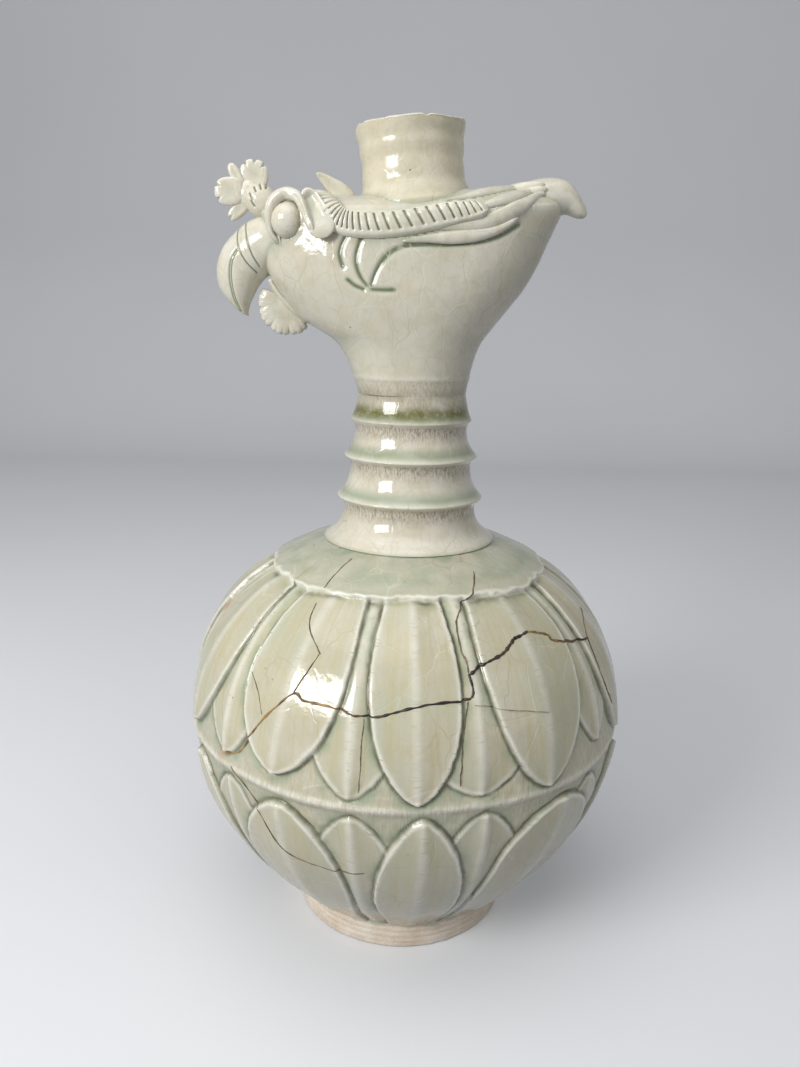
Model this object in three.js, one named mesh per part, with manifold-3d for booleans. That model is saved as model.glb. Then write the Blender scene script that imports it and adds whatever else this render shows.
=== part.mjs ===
// A celadon-glazed vessel whose neck ends in a bird's head, built from the pieces a potter joins.
// Millimetres, +Z up, origin on the table under the middle of the foot, beak towards -X.
import * as THREE from "three";
import { mergeVertices } from "three/addons/utils/BufferGeometryUtils.js";
import Module from "manifold-3d";

const wasm = await Module();
wasm.setup();

// Driving sizes of the pot
const seatGap = 0.3;
const footHeight = 13;
const footBottomRadius = 51.8;
const footTopRadius = 53.2;
const footWall = 8.5;
const footChamfer = 1.2;
const bellyHeight = 90;
const bellyRadius = 102.7;
const shoulderHeight = 83;
const shoulderCurveHeight = 87.6;
const shoulderRoundness = 2.2;
const bodyWall = 6.5;
const floorThickness = 6;

// Driving sizes of the carved petals
const groundDepth = 3;
const backPetalDepth = 1.5;
const petalCrown = 0.9;
const seamRidgeHalfHeight = 1.1;
const rowSpacing = 2.6;
const upperPetals = 12;
const upperPhase = 3.4;
const upperHalfAngle = 12.2;
const upperTipCurve = 45;
const upperTipFullness = 0.6;
const upperRootNarrowing = 0.17;
const upperBackDrop = 1.5;
const lowerPetals = 11;
const lowerPhase = 4;
const lowerHalfAngle = 15.5;
const lowerTipCurve = 84;
const lowerTipFullness = 0.55;
const shoulderBand = 10.5;
const tipAngle = 0.7;
const cutAngle = 0.7;
const petalSteps = 8;
const petalStepGrowth = 1.5;

// Driving sizes of the neck
const neckHeight = 66;
const neckBaseBore = 25;
const neckTopBore = 19;
const neckTopRadius = 24.2;
const collarRadius = 39.6;
const collarFade = 4.2;
const collarSharpness = 1.3;
const collarStops = [0, 3, 6, 11];
const neckTaper = 0.132;
const taperStops = 12;
const ridgeHalfHeight = 3;
const ridgeSharpness = 1.2;
const ridgeStops = [-4.5, -1.5, 0, 1.5];
const ridges = [
  { up: 19.4, height: 5 },
  { up: 38, height: 4.6 },
  { up: 54.3, height: 3.6 },
];

// Driving sizes of the head
const headWall = 5;
const headFront = 66;
const headBack = 58;
const headHalfWidth = 31;
const gunwaleUp = 67.5;
const gunwaleFrontRise = 6.5;
const gunwaleBackRise = 11.5;
const crownUp = 84.5;
const crownBackRise = 5;
const crownFrontRise = 1;
const frontSquareness = 2.4;
const backSquareness = 2;
const cavityFront = 47;
const cavityBack = 44;
const wellRadius = 14;

// Driving sizes of the cup
const cupHeight = 38.2;
const cupWaist = 21.3;
const cupRim = 23.4;
const cupFlare = 5;
const cupFlareUp = 6;
const cupFlareFade = 5;
const cupWall = 3.6;
const cupLean = 5.5;
const cupSink = 5;
const cupRoot = -cupSink - 4;
const wellAboveCrown = 5;

// Levels that follow from the sizes above
const waistZ = footHeight + bellyHeight;
const neckZ = waistZ + shoulderHeight;
const headZ = neckZ + neckHeight;
const gunwaleZ = headZ + gunwaleUp;
const shoulderLineZ = neckZ - shoulderBand;
const upperTipZ = waistZ + rowSpacing;
const lowerTipZ = waistZ - 2 * rowSpacing;

// Glazes and bare clay
const glaze = { color: 0xc9cbb4, roughness: 0.15, metalness: 0 };
const paleGlaze = { color: 0xd9d6c4, roughness: 0.18, metalness: 0 };
const biscuit = { color: 0xcdb9a0, roughness: 0.8, metalness: 0 };

const radians = (degrees) => (degrees * Math.PI) / 180;

// Turns a closed three.js geometry into a solid. Its faces end up outwards, whichever way its rings ran.
function solidOf(geometry) {
  const bare = geometry.clone();
  bare.deleteAttribute("normal");
  bare.deleteAttribute("uv");
  const merged = mergeVertices(bare, 1e-4);
  const vertProperties = new Float32Array(merged.attributes.position.array);
  const triVerts = new Uint32Array(merged.index.array);
  const solid = new wasm.Manifold(new wasm.Mesh({ numProp: 3, vertProperties, triVerts }));
  if (solid.volume() > 0) return solid;
  return new wasm.Manifold(new wasm.Mesh({ numProp: 3, vertProperties, triVerts: triVerts.reverse() }));
}

// Turns a solid into a named mesh.
function meshOf(name, solid, look) {
  const made = solid.getMesh();
  const geometry = new THREE.BufferGeometry();
  geometry.setAttribute(
    "position",
    new THREE.BufferAttribute(new Float32Array(made.vertProperties), 3),
  );
  geometry.setIndex(new THREE.BufferAttribute(new Uint32Array(made.triVerts), 1));
  geometry.computeVertexNormals();
  const mesh = new THREE.Mesh(geometry, new THREE.MeshStandardMaterial(look));
  mesh.name = name;
  return mesh;
}

// A round solid from a profile of [radius, z] points that starts and ends on the axis, or closes on itself.
function turned(profile, segments) {
  const points = profile.map(([radius, z]) => new THREE.Vector2(radius, z));
  const geometry = new THREE.LatheGeometry(points, segments);
  geometry.rotateX(Math.PI / 2);
  return solidOf(geometry);
}

// A closed skin over rings of points with equal counts, from the bottom or root ring to the last.
function lofted(rings) {
  const count = rings[0].length;
  const points = rings.flat();
  const first = points.length;
  points.push(centreOf(rings[0]), centreOf(rings.at(-1)));
  const faces = [];
  for (let row = 0; row < rings.length - 1; row++) {
    for (let i = 0; i < count; i++) {
      const next = (i + 1) % count;
      const low = row * count;
      const high = low + count;
      faces.push(low + i, low + next, high + next);
      faces.push(low + i, high + next, high + i);
    }
  }
  const lastRing = (rings.length - 1) * count;
  for (let i = 0; i < count; i++) {
    const next = (i + 1) % count;
    faces.push(first, next, i);
    faces.push(first + 1, lastRing + i, lastRing + next);
  }
  const geometry = new THREE.BufferGeometry().setFromPoints(points);
  geometry.setIndex(faces);
  return solidOf(geometry);
}

function centreOf(ring) {
  const sum = ring.reduce((total, point) => total.add(point), new THREE.Vector3());
  return sum.divideScalar(ring.length);
}

// A smooth value along a few [place, value] points.
function along(points) {
  const curve = new THREE.SplineCurve(points.map(([place, value]) => new THREE.Vector2(place, value)));
  const steps = 24 * (points.length - 1);
  const samples = Array.from({ length: steps + 1 }, (_, i) => curve.getPoint(i / steps));
  return (place) => {
    if (place <= samples[0].x) return samples[0].y;
    if (place >= samples[steps].x) return samples[steps].y;
    const right = samples.findIndex((sample) => sample.x >= place);
    const [a, b] = [samples[right - 1], samples[right]];
    return a.y + ((b.y - a.y) * (place - a.x)) / (b.x - a.x);
  };
}

// The belly's outer radius on the petal faces.
function bellyRadiusAt(z) {
  if (z < waistZ) {
    const rise = (z - footHeight) / bellyHeight;
    return footTopRadius + (bellyRadius - footTopRadius) * (1 - (1 - rise) ** 2);
  }
  const rise = (z - waistZ) / shoulderCurveHeight;
  return bellyRadius * (1 - rise ** shoulderRoundness) ** (1 / shoulderRoundness);
}

// Half the angle of a petal, in degrees, at a distance from its tip.
function upperPetalAngle(fromTip) {
  const share = Math.min(fromTip / upperTipCurve, 1);
  const straight = shoulderLineZ - upperTipZ - upperTipCurve;
  const narrowing = 1 - upperRootNarrowing * (Math.max(fromTip - upperTipCurve, 0) / straight) ** 2;
  return Math.max(upperHalfAngle * (1 - (1 - share) ** 2) ** upperTipFullness * narrowing, tipAngle);
}

function lowerPetalAngle(fromTip) {
  const share = Math.min(fromTip / lowerTipCurve, 1);
  return Math.max(lowerHalfAngle * (1 - (1 - share) ** 2) ** lowerTipFullness, tipAngle);
}

// One ring of a petal row: its columns follow the front petals' outline at this height.
function petalRing(z, count, phase, halfAngle, frontShows, backShows) {
  const ring = [];
  const pitch = 360 / count;
  const backHalf = pitch / 2;
  const radius = bellyRadiusAt(z);
  for (let petal = 0; petal < count; petal++) {
    const middle = phase + petal * pitch;
    const outline = [
      [-halfAngle - cutAngle, backShows ? backPetalDepth + petalCrown : groundDepth],
      [-halfAngle, frontShows ? petalCrown : groundDepth],
      [-halfAngle / 2, frontShows ? petalCrown / 3 : groundDepth],
      [0, frontShows ? 0 : groundDepth],
      [halfAngle / 2, frontShows ? petalCrown / 3 : groundDepth],
      [halfAngle, frontShows ? petalCrown : groundDepth],
      [halfAngle + cutAngle, backShows ? backPetalDepth + petalCrown : groundDepth],
      [backHalf, backShows ? backPetalDepth : groundDepth],
    ];
    for (const [angle, depth] of outline) {
      const turn = radians(middle + angle) - Math.PI / 2;
      ring.push(
        new THREE.Vector3((radius - depth) * Math.cos(turn), (radius - depth) * Math.sin(turn), z),
      );
    }
  }
  return ring;
}

// A plain ring with the same number of points as a petal ring.
function plainRing(z, radius, count, phase) {
  const points = 8 * count;
  return Array.from({ length: points }, (_, i) => {
    const turn = radians(phase + (360 * i) / points) - Math.PI / 2;
    return new THREE.Vector3(radius * Math.cos(turn), radius * Math.sin(turn), z);
  });
}

// Plain rings start where a petal ring's first column is, so that columns run straight.
const columnPhase = (phase, count, halfAngle) => phase - Math.min(halfAngle, 180 / count - 2);

// The round space inside the belly, which both halves share.
function bellyCavity() {
  const steps = 10;
  const low = footHeight + floorThickness;
  const points = [[0, low]];
  for (let i = 0; i <= steps; i++) {
    const z = low + ((neckZ - low) * i) / steps;
    points.push([Math.max(bellyRadiusAt(z) - bodyWall, neckBaseBore), z]);
  }
  points.push([neckBaseBore, neckZ + 1], [0, neckZ + 1]);
  return turned(points, 32);
}

function footRing() {
  const innerBottom = footBottomRadius - footWall;
  const innerTop = footTopRadius - footWall;
  return turned(
    [
      [innerBottom + footChamfer, 0],
      [footBottomRadius - footChamfer, 0],
      [footBottomRadius, footChamfer],
      [footTopRadius, footHeight],
      [innerTop, footHeight],
      [innerBottom, footChamfer],
      [innerBottom + footChamfer, 0],
    ],
    40,
  );
}

function lowerBody(cavity) {
  const rings = [];
  const drop = lowerTipZ - footHeight;
  const phase = columnPhase(lowerPhase, lowerPetals, lowerHalfAngle);
  for (let i = petalSteps; i >= 0; i--) {
    const fromTip = drop * (i / petalSteps) ** petalStepGrowth;
    const z = lowerTipZ - fromTip;
    const angle = lowerPetalAngle(fromTip);
    const shows = i > 0;
    rings.push(petalRing(z, lowerPetals, lowerPhase, angle, shows, shows));
  }
  const ridgeZ = waistZ - seamRidgeHalfHeight;
  rings.push(plainRing(ridgeZ - 1, bellyRadius - groundDepth, lowerPetals, phase));
  rings.push(plainRing(ridgeZ, bellyRadius, lowerPetals, phase));
  rings.push(plainRing(waistZ, bellyRadius, lowerPetals, phase));
  return lofted(rings).subtract(cavity);
}

function upperBody(cavity) {
  const rings = [];
  const rise = shoulderLineZ - upperTipZ;
  const phase = columnPhase(upperPhase, upperPetals, upperHalfAngle);
  const ridgeZ = waistZ + seamRidgeHalfHeight;
  rings.push(plainRing(waistZ, bellyRadius, upperPetals, phase));
  rings.push(plainRing(ridgeZ, bellyRadius, upperPetals, phase));
  rings.push(plainRing(ridgeZ + 1, bellyRadius - groundDepth, upperPetals, phase));
  for (let i = 0; i <= petalSteps; i++) {
    const fromTip = rise * (i / petalSteps) ** petalStepGrowth;
    const z = upperTipZ + fromTip;
    const frontShows = i > 0;
    const backShows = fromTip > upperBackDrop;
    rings.push(petalRing(z, upperPetals, upperPhase, upperPetalAngle(fromTip), frontShows, backShows));
  }
  for (const z of [shoulderLineZ + 1, (shoulderLineZ + neckZ) / 2, neckZ]) {
    rings.push(plainRing(z, bellyRadiusAt(z), upperPetals, phase));
  }
  return lofted(rings).subtract(cavity);
}

// The neck's outer radius at a height above its base: a cone with a flared collar and three ridges.
function neckRadiusAt(up) {
  const cone = neckTopRadius + neckTaper * Math.max(neckHeight - taperStops - up, 0);
  const collar = (collarRadius - cone) * Math.exp(-((up / collarFade) ** collarSharpness));
  const ridgeAt = ({ up: place, height }) =>
    height * Math.exp(-((Math.abs(up - place) / ridgeHalfHeight) ** ridgeSharpness));
  return ridges.reduce((sum, ridge) => sum + ridgeAt(ridge), cone + collar);
}

function neck() {
  const ridgeHeights = ridges.flatMap(({ up }) => ridgeStops.map((stop) => up + stop));
  const heights = [...collarStops, ...ridgeHeights, neckHeight];
  const outer = heights.map((up) => [neckRadiusAt(up), neckZ + up]);
  return turned(
    [[neckBaseBore, neckZ], ...outer, [neckTopBore, headZ], [neckBaseBore, neckZ]],
    32,
  );
}

// Half extents of the head's level sections, as heights above the neck and distances from its axis.
const throat = along([
  [0, neckTopRadius],
  [10, neckTopRadius + 3.4],
  [18, neckTopRadius + 7.3],
  [gunwaleUp - 44.5, headFront - 30],
  [gunwaleUp - 39.5, headFront - 21.5],
  [gunwaleUp - 33.5, headFront - 14],
  [gunwaleUp - 18.5, headFront - 3],
  [gunwaleUp, headFront],
]);
const nape = along([
  [0, neckTopRadius],
  [10, neckTopRadius + 1.8],
  [21, neckTopRadius + 5.3],
  [gunwaleUp - 38.5, headBack - 23],
  [gunwaleUp - 29.5, headBack - 16],
  [gunwaleUp - 22.5, headBack - 10.5],
  [gunwaleUp - 12.5, headBack - 5],
  [gunwaleUp, headBack],
]);
const cheek = along([
  [0, neckTopRadius],
  [10, neckTopRadius + 1.4],
  [23, headHalfWidth - 3],
  [38, headHalfWidth - 0.5],
  [gunwaleUp, headHalfWidth],
]);

const crownLine = along([
  [-headFront, crownUp - 3 * crownFrontRise],
  [-0.76 * headFront, crownUp],
  [-0.42 * headFront, crownUp - 2 * crownFrontRise],
  [0, crownUp],
  [headBack, crownUp + crownBackRise],
]);

// The shapes of the head's skin, grown outwards or, with a minus sign, inwards.
function headSizes(grow) {
  return {
    front: (up) => throat(up) + grow,
    back: (up) => nape(up) + grow,
    side: (up) => cheek(up) + grow,
    crown: (x) => headZ + crownLine(x) + grow,
    frontLimit: Infinity,
    backLimit: Infinity,
  };
}

function cavitySizes() {
  return {
    ...headSizes(-headWall),
    frontLimit: cavityFront,
    backLimit: cavityBack,
  };
}

// A point of the head's skin. Turn 0 is the nape and half a turn the beak; level 0 to 1 climbs the wall
// to the gunwale, and 1 to 2 goes over the crown to its middle.
function headPoint(sizes, turn, level) {
  const cosine = Math.cos(turn);
  const sine = Math.sin(turn);
  const squareness = cosine < 0 ? frontSquareness : backSquareness;
  const shareX = Math.sign(cosine) * Math.abs(cosine) ** (2 / squareness);
  const shareY = Math.sign(sine) * Math.abs(sine) ** (2 / squareness);
  const rise = cosine < 0 ? gunwaleFrontRise : gunwaleBackRise;
  const rimUp = gunwaleUp + rise * cosine ** 2;
  const up = rimUp * Math.min(level, 1);
  const reach =
    cosine < 0
      ? Math.min(sizes.front(up), sizes.frontLimit)
      : Math.min(sizes.back(up), sizes.backLimit);
  const inward = Math.max(2 - level, 0);
  const spread = level > 1 ? inward : 1;
  const x = reach * shareX * spread;
  const y = sizes.side(up) * shareY * spread;
  if (level <= 1) return new THREE.Vector3(x, y, headZ + up);
  const rimZ = headZ + rimUp;
  const z = rimZ + (sizes.crown(x) - rimZ) * Math.sqrt(1 - spread ** 2);
  return new THREE.Vector3(x, y, z);
}

// A solid head. It starts below the neck joint by the given depth.
function headSolid(sizes, columns, depth) {
  const levels = [0, 0.14, 0.26, 0.34, 0.41, 0.5, 0.62, 0.8, 1, 1.04, 1.13, 1.28, 1.5, 1.8];
  const rings = levels.map((level) =>
    Array.from({ length: columns }, (_, i) => headPoint(sizes, (2 * Math.PI * i) / columns, level)),
  );
  if (depth > 0) {
    rings.unshift(rings[0].map((point) => new THREE.Vector3(point.x, point.y, point.z - depth)));
  }
  return lofted(rings);
}

const headOutside = headSolid(headSizes(0), 36, 0);
const headSeat = headSolid(headSizes(seatGap), 36, 0);

function headShell() {
  const cavity = headSolid(cavitySizes(), 24, 1);
  const wellTopZ = headZ + crownUp + crownBackRise + wellAboveCrown;
  const well = turned(
    [
      [0, gunwaleZ],
      [wellRadius, gunwaleZ],
      [wellRadius, wellTopZ],
      [0, wellTopZ],
    ],
    24,
  );
  return headOutside.subtract(cavity).subtract(well);
}

// The head's skin beside a point of the side view. Side -1 is the bird's left.
function skinBeside(x, z, side) {
  const sizes = headSizes(0);
  const findTurn = (level) => {
    let low = 0;
    let high = Math.PI;
    for (let i = 0; i < 24; i++) {
      const middle = (low + high) / 2;
      if (headPoint(sizes, middle, level).x > x) low = middle;
      else high = middle;
    }
    return (low + high) / 2;
  };
  let low = 0.05;
  let high = 1.98;
  for (let i = 0; i < 24; i++) {
    const level = (low + high) / 2;
    if (headPoint(sizes, findTurn(level), level).z < z) low = level;
    else high = level;
  }
  const level = (low + high) / 2;
  const point = headPoint(sizes, findTurn(level), level);
  point.y = side * Math.abs(point.y);
  return point;
}

// The outward normal there.
function normalBeside(x, z, side) {
  const step = 0.5;
  const alongX = skinBeside(x + step, z, side).sub(skinBeside(x - step, z, side));
  const alongZ = skinBeside(x, z + step, side).sub(skinBeside(x, z - step, side));
  const normal = alongX.cross(alongZ).normalize();
  return normal.y * side < 0 ? normal.negate() : normal;
}

// A roll or strap of clay along its centres, its flat side facing the outward directions.
function strap({ centres, outwards, halfWidth, halfThickness, grow = 0, sides = 8 }) {
  const last = centres.length - 1;
  const rings = centres.map((centre, i) => {
    const ahead = centres[Math.min(i + 1, last)].clone().sub(centres[Math.max(i - 1, 0)]).normalize();
    const across = ahead.clone().cross(outwards[i]).normalize();
    const width = halfWidth(i / last) + grow;
    const thickness = halfThickness(i / last) + grow;
    return ellipseRing(centre, across, outwards[i], width, thickness, sides);
  });
  return lofted(rings);
}

// A strap laid on the head's side along [x, z] points of the side view.
function strapOnSkin({ route, lift, side, steps = 12, ...sizes }) {
  const curve = new THREE.CatmullRomCurve3(route.map(([x, z]) => new THREE.Vector3(x, 0, z)));
  const centres = [];
  const outwards = [];
  for (let i = 0; i <= steps; i++) {
    const place = curve.getPoint(i / steps);
    const normal = normalBeside(place.x, place.z, side);
    outwards.push(normal);
    centres.push(skinBeside(place.x, place.z, side).addScaledVector(normal, lift));
  }
  return strap({ centres, outwards, ...sizes });
}

// A strap that stands off the skin, along [x, y, z] points for the bird's right, facing out and a little up.
function strapInSpace({ route, upwardTilt, side, steps = 12, ...sizes }) {
  const curve = new THREE.CatmullRomCurve3(route.map(([x, y, z]) => new THREE.Vector3(x, side * y, z)));
  const centres = curve.getPoints(steps);
  const outward = new THREE.Vector3(0, side, upwardTilt).normalize();
  return strap({ centres, outwards: centres.map(() => outward), ...sizes });
}

// Cuts a piece clear of its neighbours and keeps its main body where the cut frees a crumb.
function seated(piece, ...neighbours) {
  const cut = neighbours.reduce((left, neighbour) => left.subtract(neighbour), piece);
  const bodies = cut.decompose();
  return bodies.reduce((largest, body) => (body.volume() > largest.volume() ? body : largest));
}

function ellipseRing(centre, across, outwards, halfAcross, halfOut, sides) {
  return Array.from({ length: sides }, (_, i) => {
    const turn = (2 * Math.PI * i) / sides;
    return centre
      .clone()
      .addScaledVector(across, halfAcross * Math.cos(turn))
      .addScaledVector(outwards, halfOut * Math.sin(turn));
  });
}

// Full between its ends and rounded down to a share of the size at each end.
const roundedEnds = (size, share) => (place) =>
  size * (share + (1 - share) * Math.sqrt(Math.max(1 - Math.abs(2 * place - 1) ** 4, 0)));

// A clay piece on the middle plane between an upper and a lower line of [x, z] points.
function lobeOnMiddle({ upper, lower, halfWidth, steps = 10, sides = 14, grow = 0 }) {
  const lineOf = (points) => new THREE.CatmullRomCurve3(points.map(([x, z]) => new THREE.Vector3(x, 0, z)));
  const [top, bottom] = [lineOf(upper), lineOf(lower)];
  const sideways = new THREE.Vector3(0, 1, 0);
  const rings = Array.from({ length: steps + 1 }, (_, i) => {
    const share = i / steps;
    const high = top.getPoint(share);
    const low = bottom.getPoint(share);
    const centre = high.clone().add(low).multiplyScalar(0.5);
    const upwards = high.clone().sub(low);
    const halfHeight = upwards.length() / 2;
    upwards.normalize();
    return ellipseRing(centre, sideways, upwards, halfWidth(share) + grow, halfHeight + grow, sides);
  });
  return lofted(rings);
}

// A fan of round lobes in the side view, centred on a point, cut from a slab of clay.
function lobedFan({ centre, from, to, lobes, reach, notch, back, thickness }) {
  const shape = new THREE.Shape();
  const perLobe = 8;
  const steps = lobes * perLobe;
  for (let i = 0; i <= steps; i++) {
    const turn = radians(from + ((to - from) * i) / steps);
    const lobe = Math.abs(Math.sin((Math.PI * i) / perLobe)) ** 0.5;
    const radius = reach - notch * (1 - lobe);
    const x = centre[0] + radius * Math.cos(turn);
    const z = centre[1] + radius * Math.sin(turn);
    if (i === 0) shape.moveTo(x, z);
    else shape.lineTo(x, z);
  }
  const backSteps = 5;
  for (let i = 0; i <= backSteps; i++) {
    const turn = radians(to + ((360 + from - to) * (i + 0.5)) / (backSteps + 1));
    shape.lineTo(centre[0] + back * Math.cos(turn), centre[1] + back * Math.sin(turn));
  }
  const geometry = new THREE.ExtrudeGeometry(shape, { depth: thickness, bevelEnabled: false });
  geometry.rotateX(Math.PI / 2);
  geometry.translate(0, thickness / 2, 0);
  return solidOf(geometry);
}

function ball(centre, radii, lean = 0) {
  const geometry = new THREE.SphereGeometry(1, 16, 9);
  geometry.scale(...radii);
  geometry.rotateY(radians(lean));
  geometry.translate(...centre);
  return solidOf(geometry);
}

// The cup stands on the crown and leans towards the beak. Its wall opens to a lip in its upper half, and
// its outside spreads into a skirt at the crown.
const cupWallAt = (up) => cupWaist + (cupRim - cupWaist) * Math.max(2 * (up / cupHeight) - 1, 0) ** 1.5;
const cupSkirtAt = (up) => cupFlare * Math.exp(-((Math.max(up - cupFlareUp, 0) / cupFlareFade) ** 1.3));
const cupSkirtStops = [cupRoot, cupFlareUp, cupFlareUp + 2.5, cupFlareUp + 6];
const cupWallStops = [0.47 * cupHeight, 0.73 * cupHeight, cupHeight];

function cupSolid(grow) {
  const outer = [...cupSkirtStops, ...cupWallStops].map((up) => [cupWallAt(up) + cupSkirtAt(up) + grow, up]);
  const inner = [cupRoot, ...cupWallStops].reverse().map((up) => [cupWallAt(up) - cupWall - grow, up]);
  const points = [...outer, ...inner, outer[0]].map(([radius, z]) => new THREE.Vector2(radius, z));
  const geometry = new THREE.LatheGeometry(points, 32);
  geometry.rotateX(Math.PI / 2);
  geometry.rotateY(radians(-cupLean));
  geometry.translate(0, 0, gunwaleZ + cupSink);
  return solidOf(geometry);
}
const fillingCup = () => seated(cupSolid(0), headSeat);
const cupSeat = cupSolid(seatGap);

// Places on the head, as distances from its face, its side, its crown and its nape.
const onFace = (points) => points.map(([x, z]) => [x - headFront, gunwaleZ + z]);
const onSide = (points) => points.map(([x, z]) => [x, gunwaleZ + z]);
const onCheek = (points) =>
  points.map(([x, inset, z]) => [x - headFront, headHalfWidth - inset, gunwaleZ + z]);
const onCrown = (points) => points.map(([x, z]) => [x - cupWaist, headZ + crownUp + z]);
const onNape = (points) => points.map(([x, z]) => [x + headBack, headZ + crownUp + z]);

// The hooked beak, from its root on the face to its tip.
const beakSolid = (grow) =>
  lobeOnMiddle({
    upper: onFace([
      [4, 6.5],
      [-5, 4],
      [-13, -2.2],
      [-17.9, -8.4],
      [-20.4, -16.7],
      [-18.9, -25.1],
      [-13, -32.1],
      [-8.6, -36.2],
    ]),
    lower: onFace([
      [10, -14.5],
      [5, -17],
      [0.5, -20],
      [-2.4, -23.5],
      [-4.6, -27.5],
      [-6.2, -31],
      [-7.4, -34.5],
      [-8, -37.1],
    ]),
    halfWidth: (share) => 1.2 + 11.3 * (1 - share ** 1.8),
    grow,
  });
const beakSeat = beakSolid(seatGap);
const upperBeak = () => seated(beakSolid(0), headSeat);

// The lower jaw is a lip along the throat, from the corner of the mouth to the chin.
const jawSolid = (grow) =>
  lobeOnMiddle({
    upper: onFace([
      [1.5, -20.5],
      [5.5, -27],
      [12, -34],
      [19, -39],
    ]),
    lower: onFace([
      [5.5, -19],
      [10, -25.5],
      [16, -31.5],
      [22, -36],
    ]),
    halfWidth: (share) => 9.5 - 3 * share,
    grow,
  });
const jawSeat = jawSolid(seatGap);
const lowerJaw = () => seated(jawSolid(0), headSeat, beakSeat);

// The wattle hangs under the jaw, a thick frilled fan.
const wattleShape = {
  centre: onFace([[10.5, -30.5]])[0],
  from: 145,
  to: 312,
  lobes: 5,
  reach: 13,
  notch: 2.2,
  back: 6,
  thickness: 6.5,
};
const wattle = () => seated(lobedFan(wattleShape), headSeat, jawSeat);

// The crest: a knob on the forehead that carries a flower of notched petals.
const knobRadii = [8.6, 6.6, 6.8];
const knobLean = 32;
const knobPlace = onFace([[0, 11.5]])[0];
const knobSolid = (grow) =>
  ball([knobPlace[0], 0, knobPlace[1]], knobRadii.map((radius) => radius + grow), knobLean);
const crestKnob = () => seated(knobSolid(0), headSeat, beakSeat);
const flowerShape = {
  centre: onFace([[-7, 15.1]])[0],
  from: 62,
  to: 248,
  lobes: 6,
  reach: 12.6,
  notch: 4.2,
  back: 4,
  thickness: 7,
};
const crestFlower = () => seated(lobedFan(flowerShape), knobSolid(seatGap));

// The pieces round each eye. Side -1 is the bird's left.
const eyeRadius = 6.3;
const eyePlace = onCheek([[11.8, 11.5, 3.3]])[0];
const eyeSolid = (side, grow) =>
  ball([eyePlace[0], side * eyePlace[1], eyePlace[2]], Array(3).fill(eyeRadius + grow));
const eyeball = (side) => seated(eyeSolid(side, 0), headSeat);

const earSolid = (side, grow) =>
  strapInSpace({
    route: onCheek([
      [19, 10.5, 11.9],
      [23.8, 7.5, 8.5],
      [28, 4, 4],
      [31.6, 1.5, -1],
    ]),
    halfWidth: roundedEnds(4.4, 0.3),
    halfThickness: roundedEnds(2.2, 0.4),
    upwardTilt: 0.4,
    side,
    steps: 8,
    grow,
  });
const ear = (side) => seated(earSolid(side, 0), headSeat, eyeSolid(side, seatGap));

// Each brow rolls round its eye and runs back down to a hook.
const browSolid = (side, grow) =>
  strapInSpace({
    route: onCheek([
      [9.9, 12, -5.7],
      [5.6, 11.5, -1.5],
      [5.4, 10.5, 5],
      [9.6, 10.5, 11.3],
      [15.2, 10.5, 12.5],
      [19.8, 9, 9.1],
      [23.2, 6.5, 3],
      [26.6, 4, -3.5],
    ]),
    halfWidth: roundedEnds(2.5, 0.5),
    halfThickness: roundedEnds(4.2, 0.5),
    upwardTilt: 0.1,
    side,
    steps: 16,
    grow,
  });
const brow = (side) =>
  seated(browSolid(side, 0), headSeat, eyeSolid(side, seatGap), earSolid(side, seatGap));

// The ribbed feather band along the gunwale, from behind the ear to beside the cup.
const bandSolid = (side, grow) =>
  strapOnSkin({
    route: onSide([
      [-43, 11.5],
      [-37, 7.9],
      [-30, 2.3],
      [-21, -0.2],
      [-10, 0.3],
      [3, 3.1],
      [15, 5.9],
      [27, 7.7],
    ]),
    halfWidth: roundedEnds(4.9, 0.35),
    halfThickness: roundedEnds(2.2, 0.4),
    lift: 0.9,
    side,
    steps: 14,
    grow,
  });
const featherBand = (side) =>
  seated(bandSolid(side, 0), headSeat, browSolid(side, seatGap), earSolid(side, seatGap), cupSeat);

// The pointed leaf that stands on the crown before the cup.
const leafShape = {
  upper: onCrown([
    [-6.1, -1.5],
    [-12.7, 3],
    [-18.2, 5.9],
    [-21.6, 6.7],
  ]),
  lower: onCrown([
    [-7.7, -6.5],
    [-13.5, -2],
    [-18.3, 2.5],
    [-21.4, 5.7],
  ]),
  halfWidth: (share) => 1 + 6 * Math.sqrt(Math.max(1 - share ** 2, 0)),
  steps: 7,
  sides: 10,
};
const crownLeaf = () => seated(lobeOnMiddle(leafShape), headSeat, cupSeat);

// The hooked crest at the nape, where the plumes meet.
const tailSolid = (grow) =>
  lobeOnMiddle({
    upper: onNape([
      [-20, 1.7],
      [-11, 5.5],
      [-1.4, 6.6],
      [6.8, 3.6],
      [12.5, -1.9],
      [15.3, -6.6],
    ]),
    lower: onNape([
      [-14, -6.5],
      [-6, -7],
      [1, -7.5],
      [6.5, -6.7],
      [11, -7.6],
      [14.2, -8.5],
    ]),
    halfWidth: (share) => 12.5 - 10 * share ** 0.7,
    grow,
  });
const tailSeat = tailSolid(seatGap);
const tailCrest = () => seated(tailSolid(0), headSeat);

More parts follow.
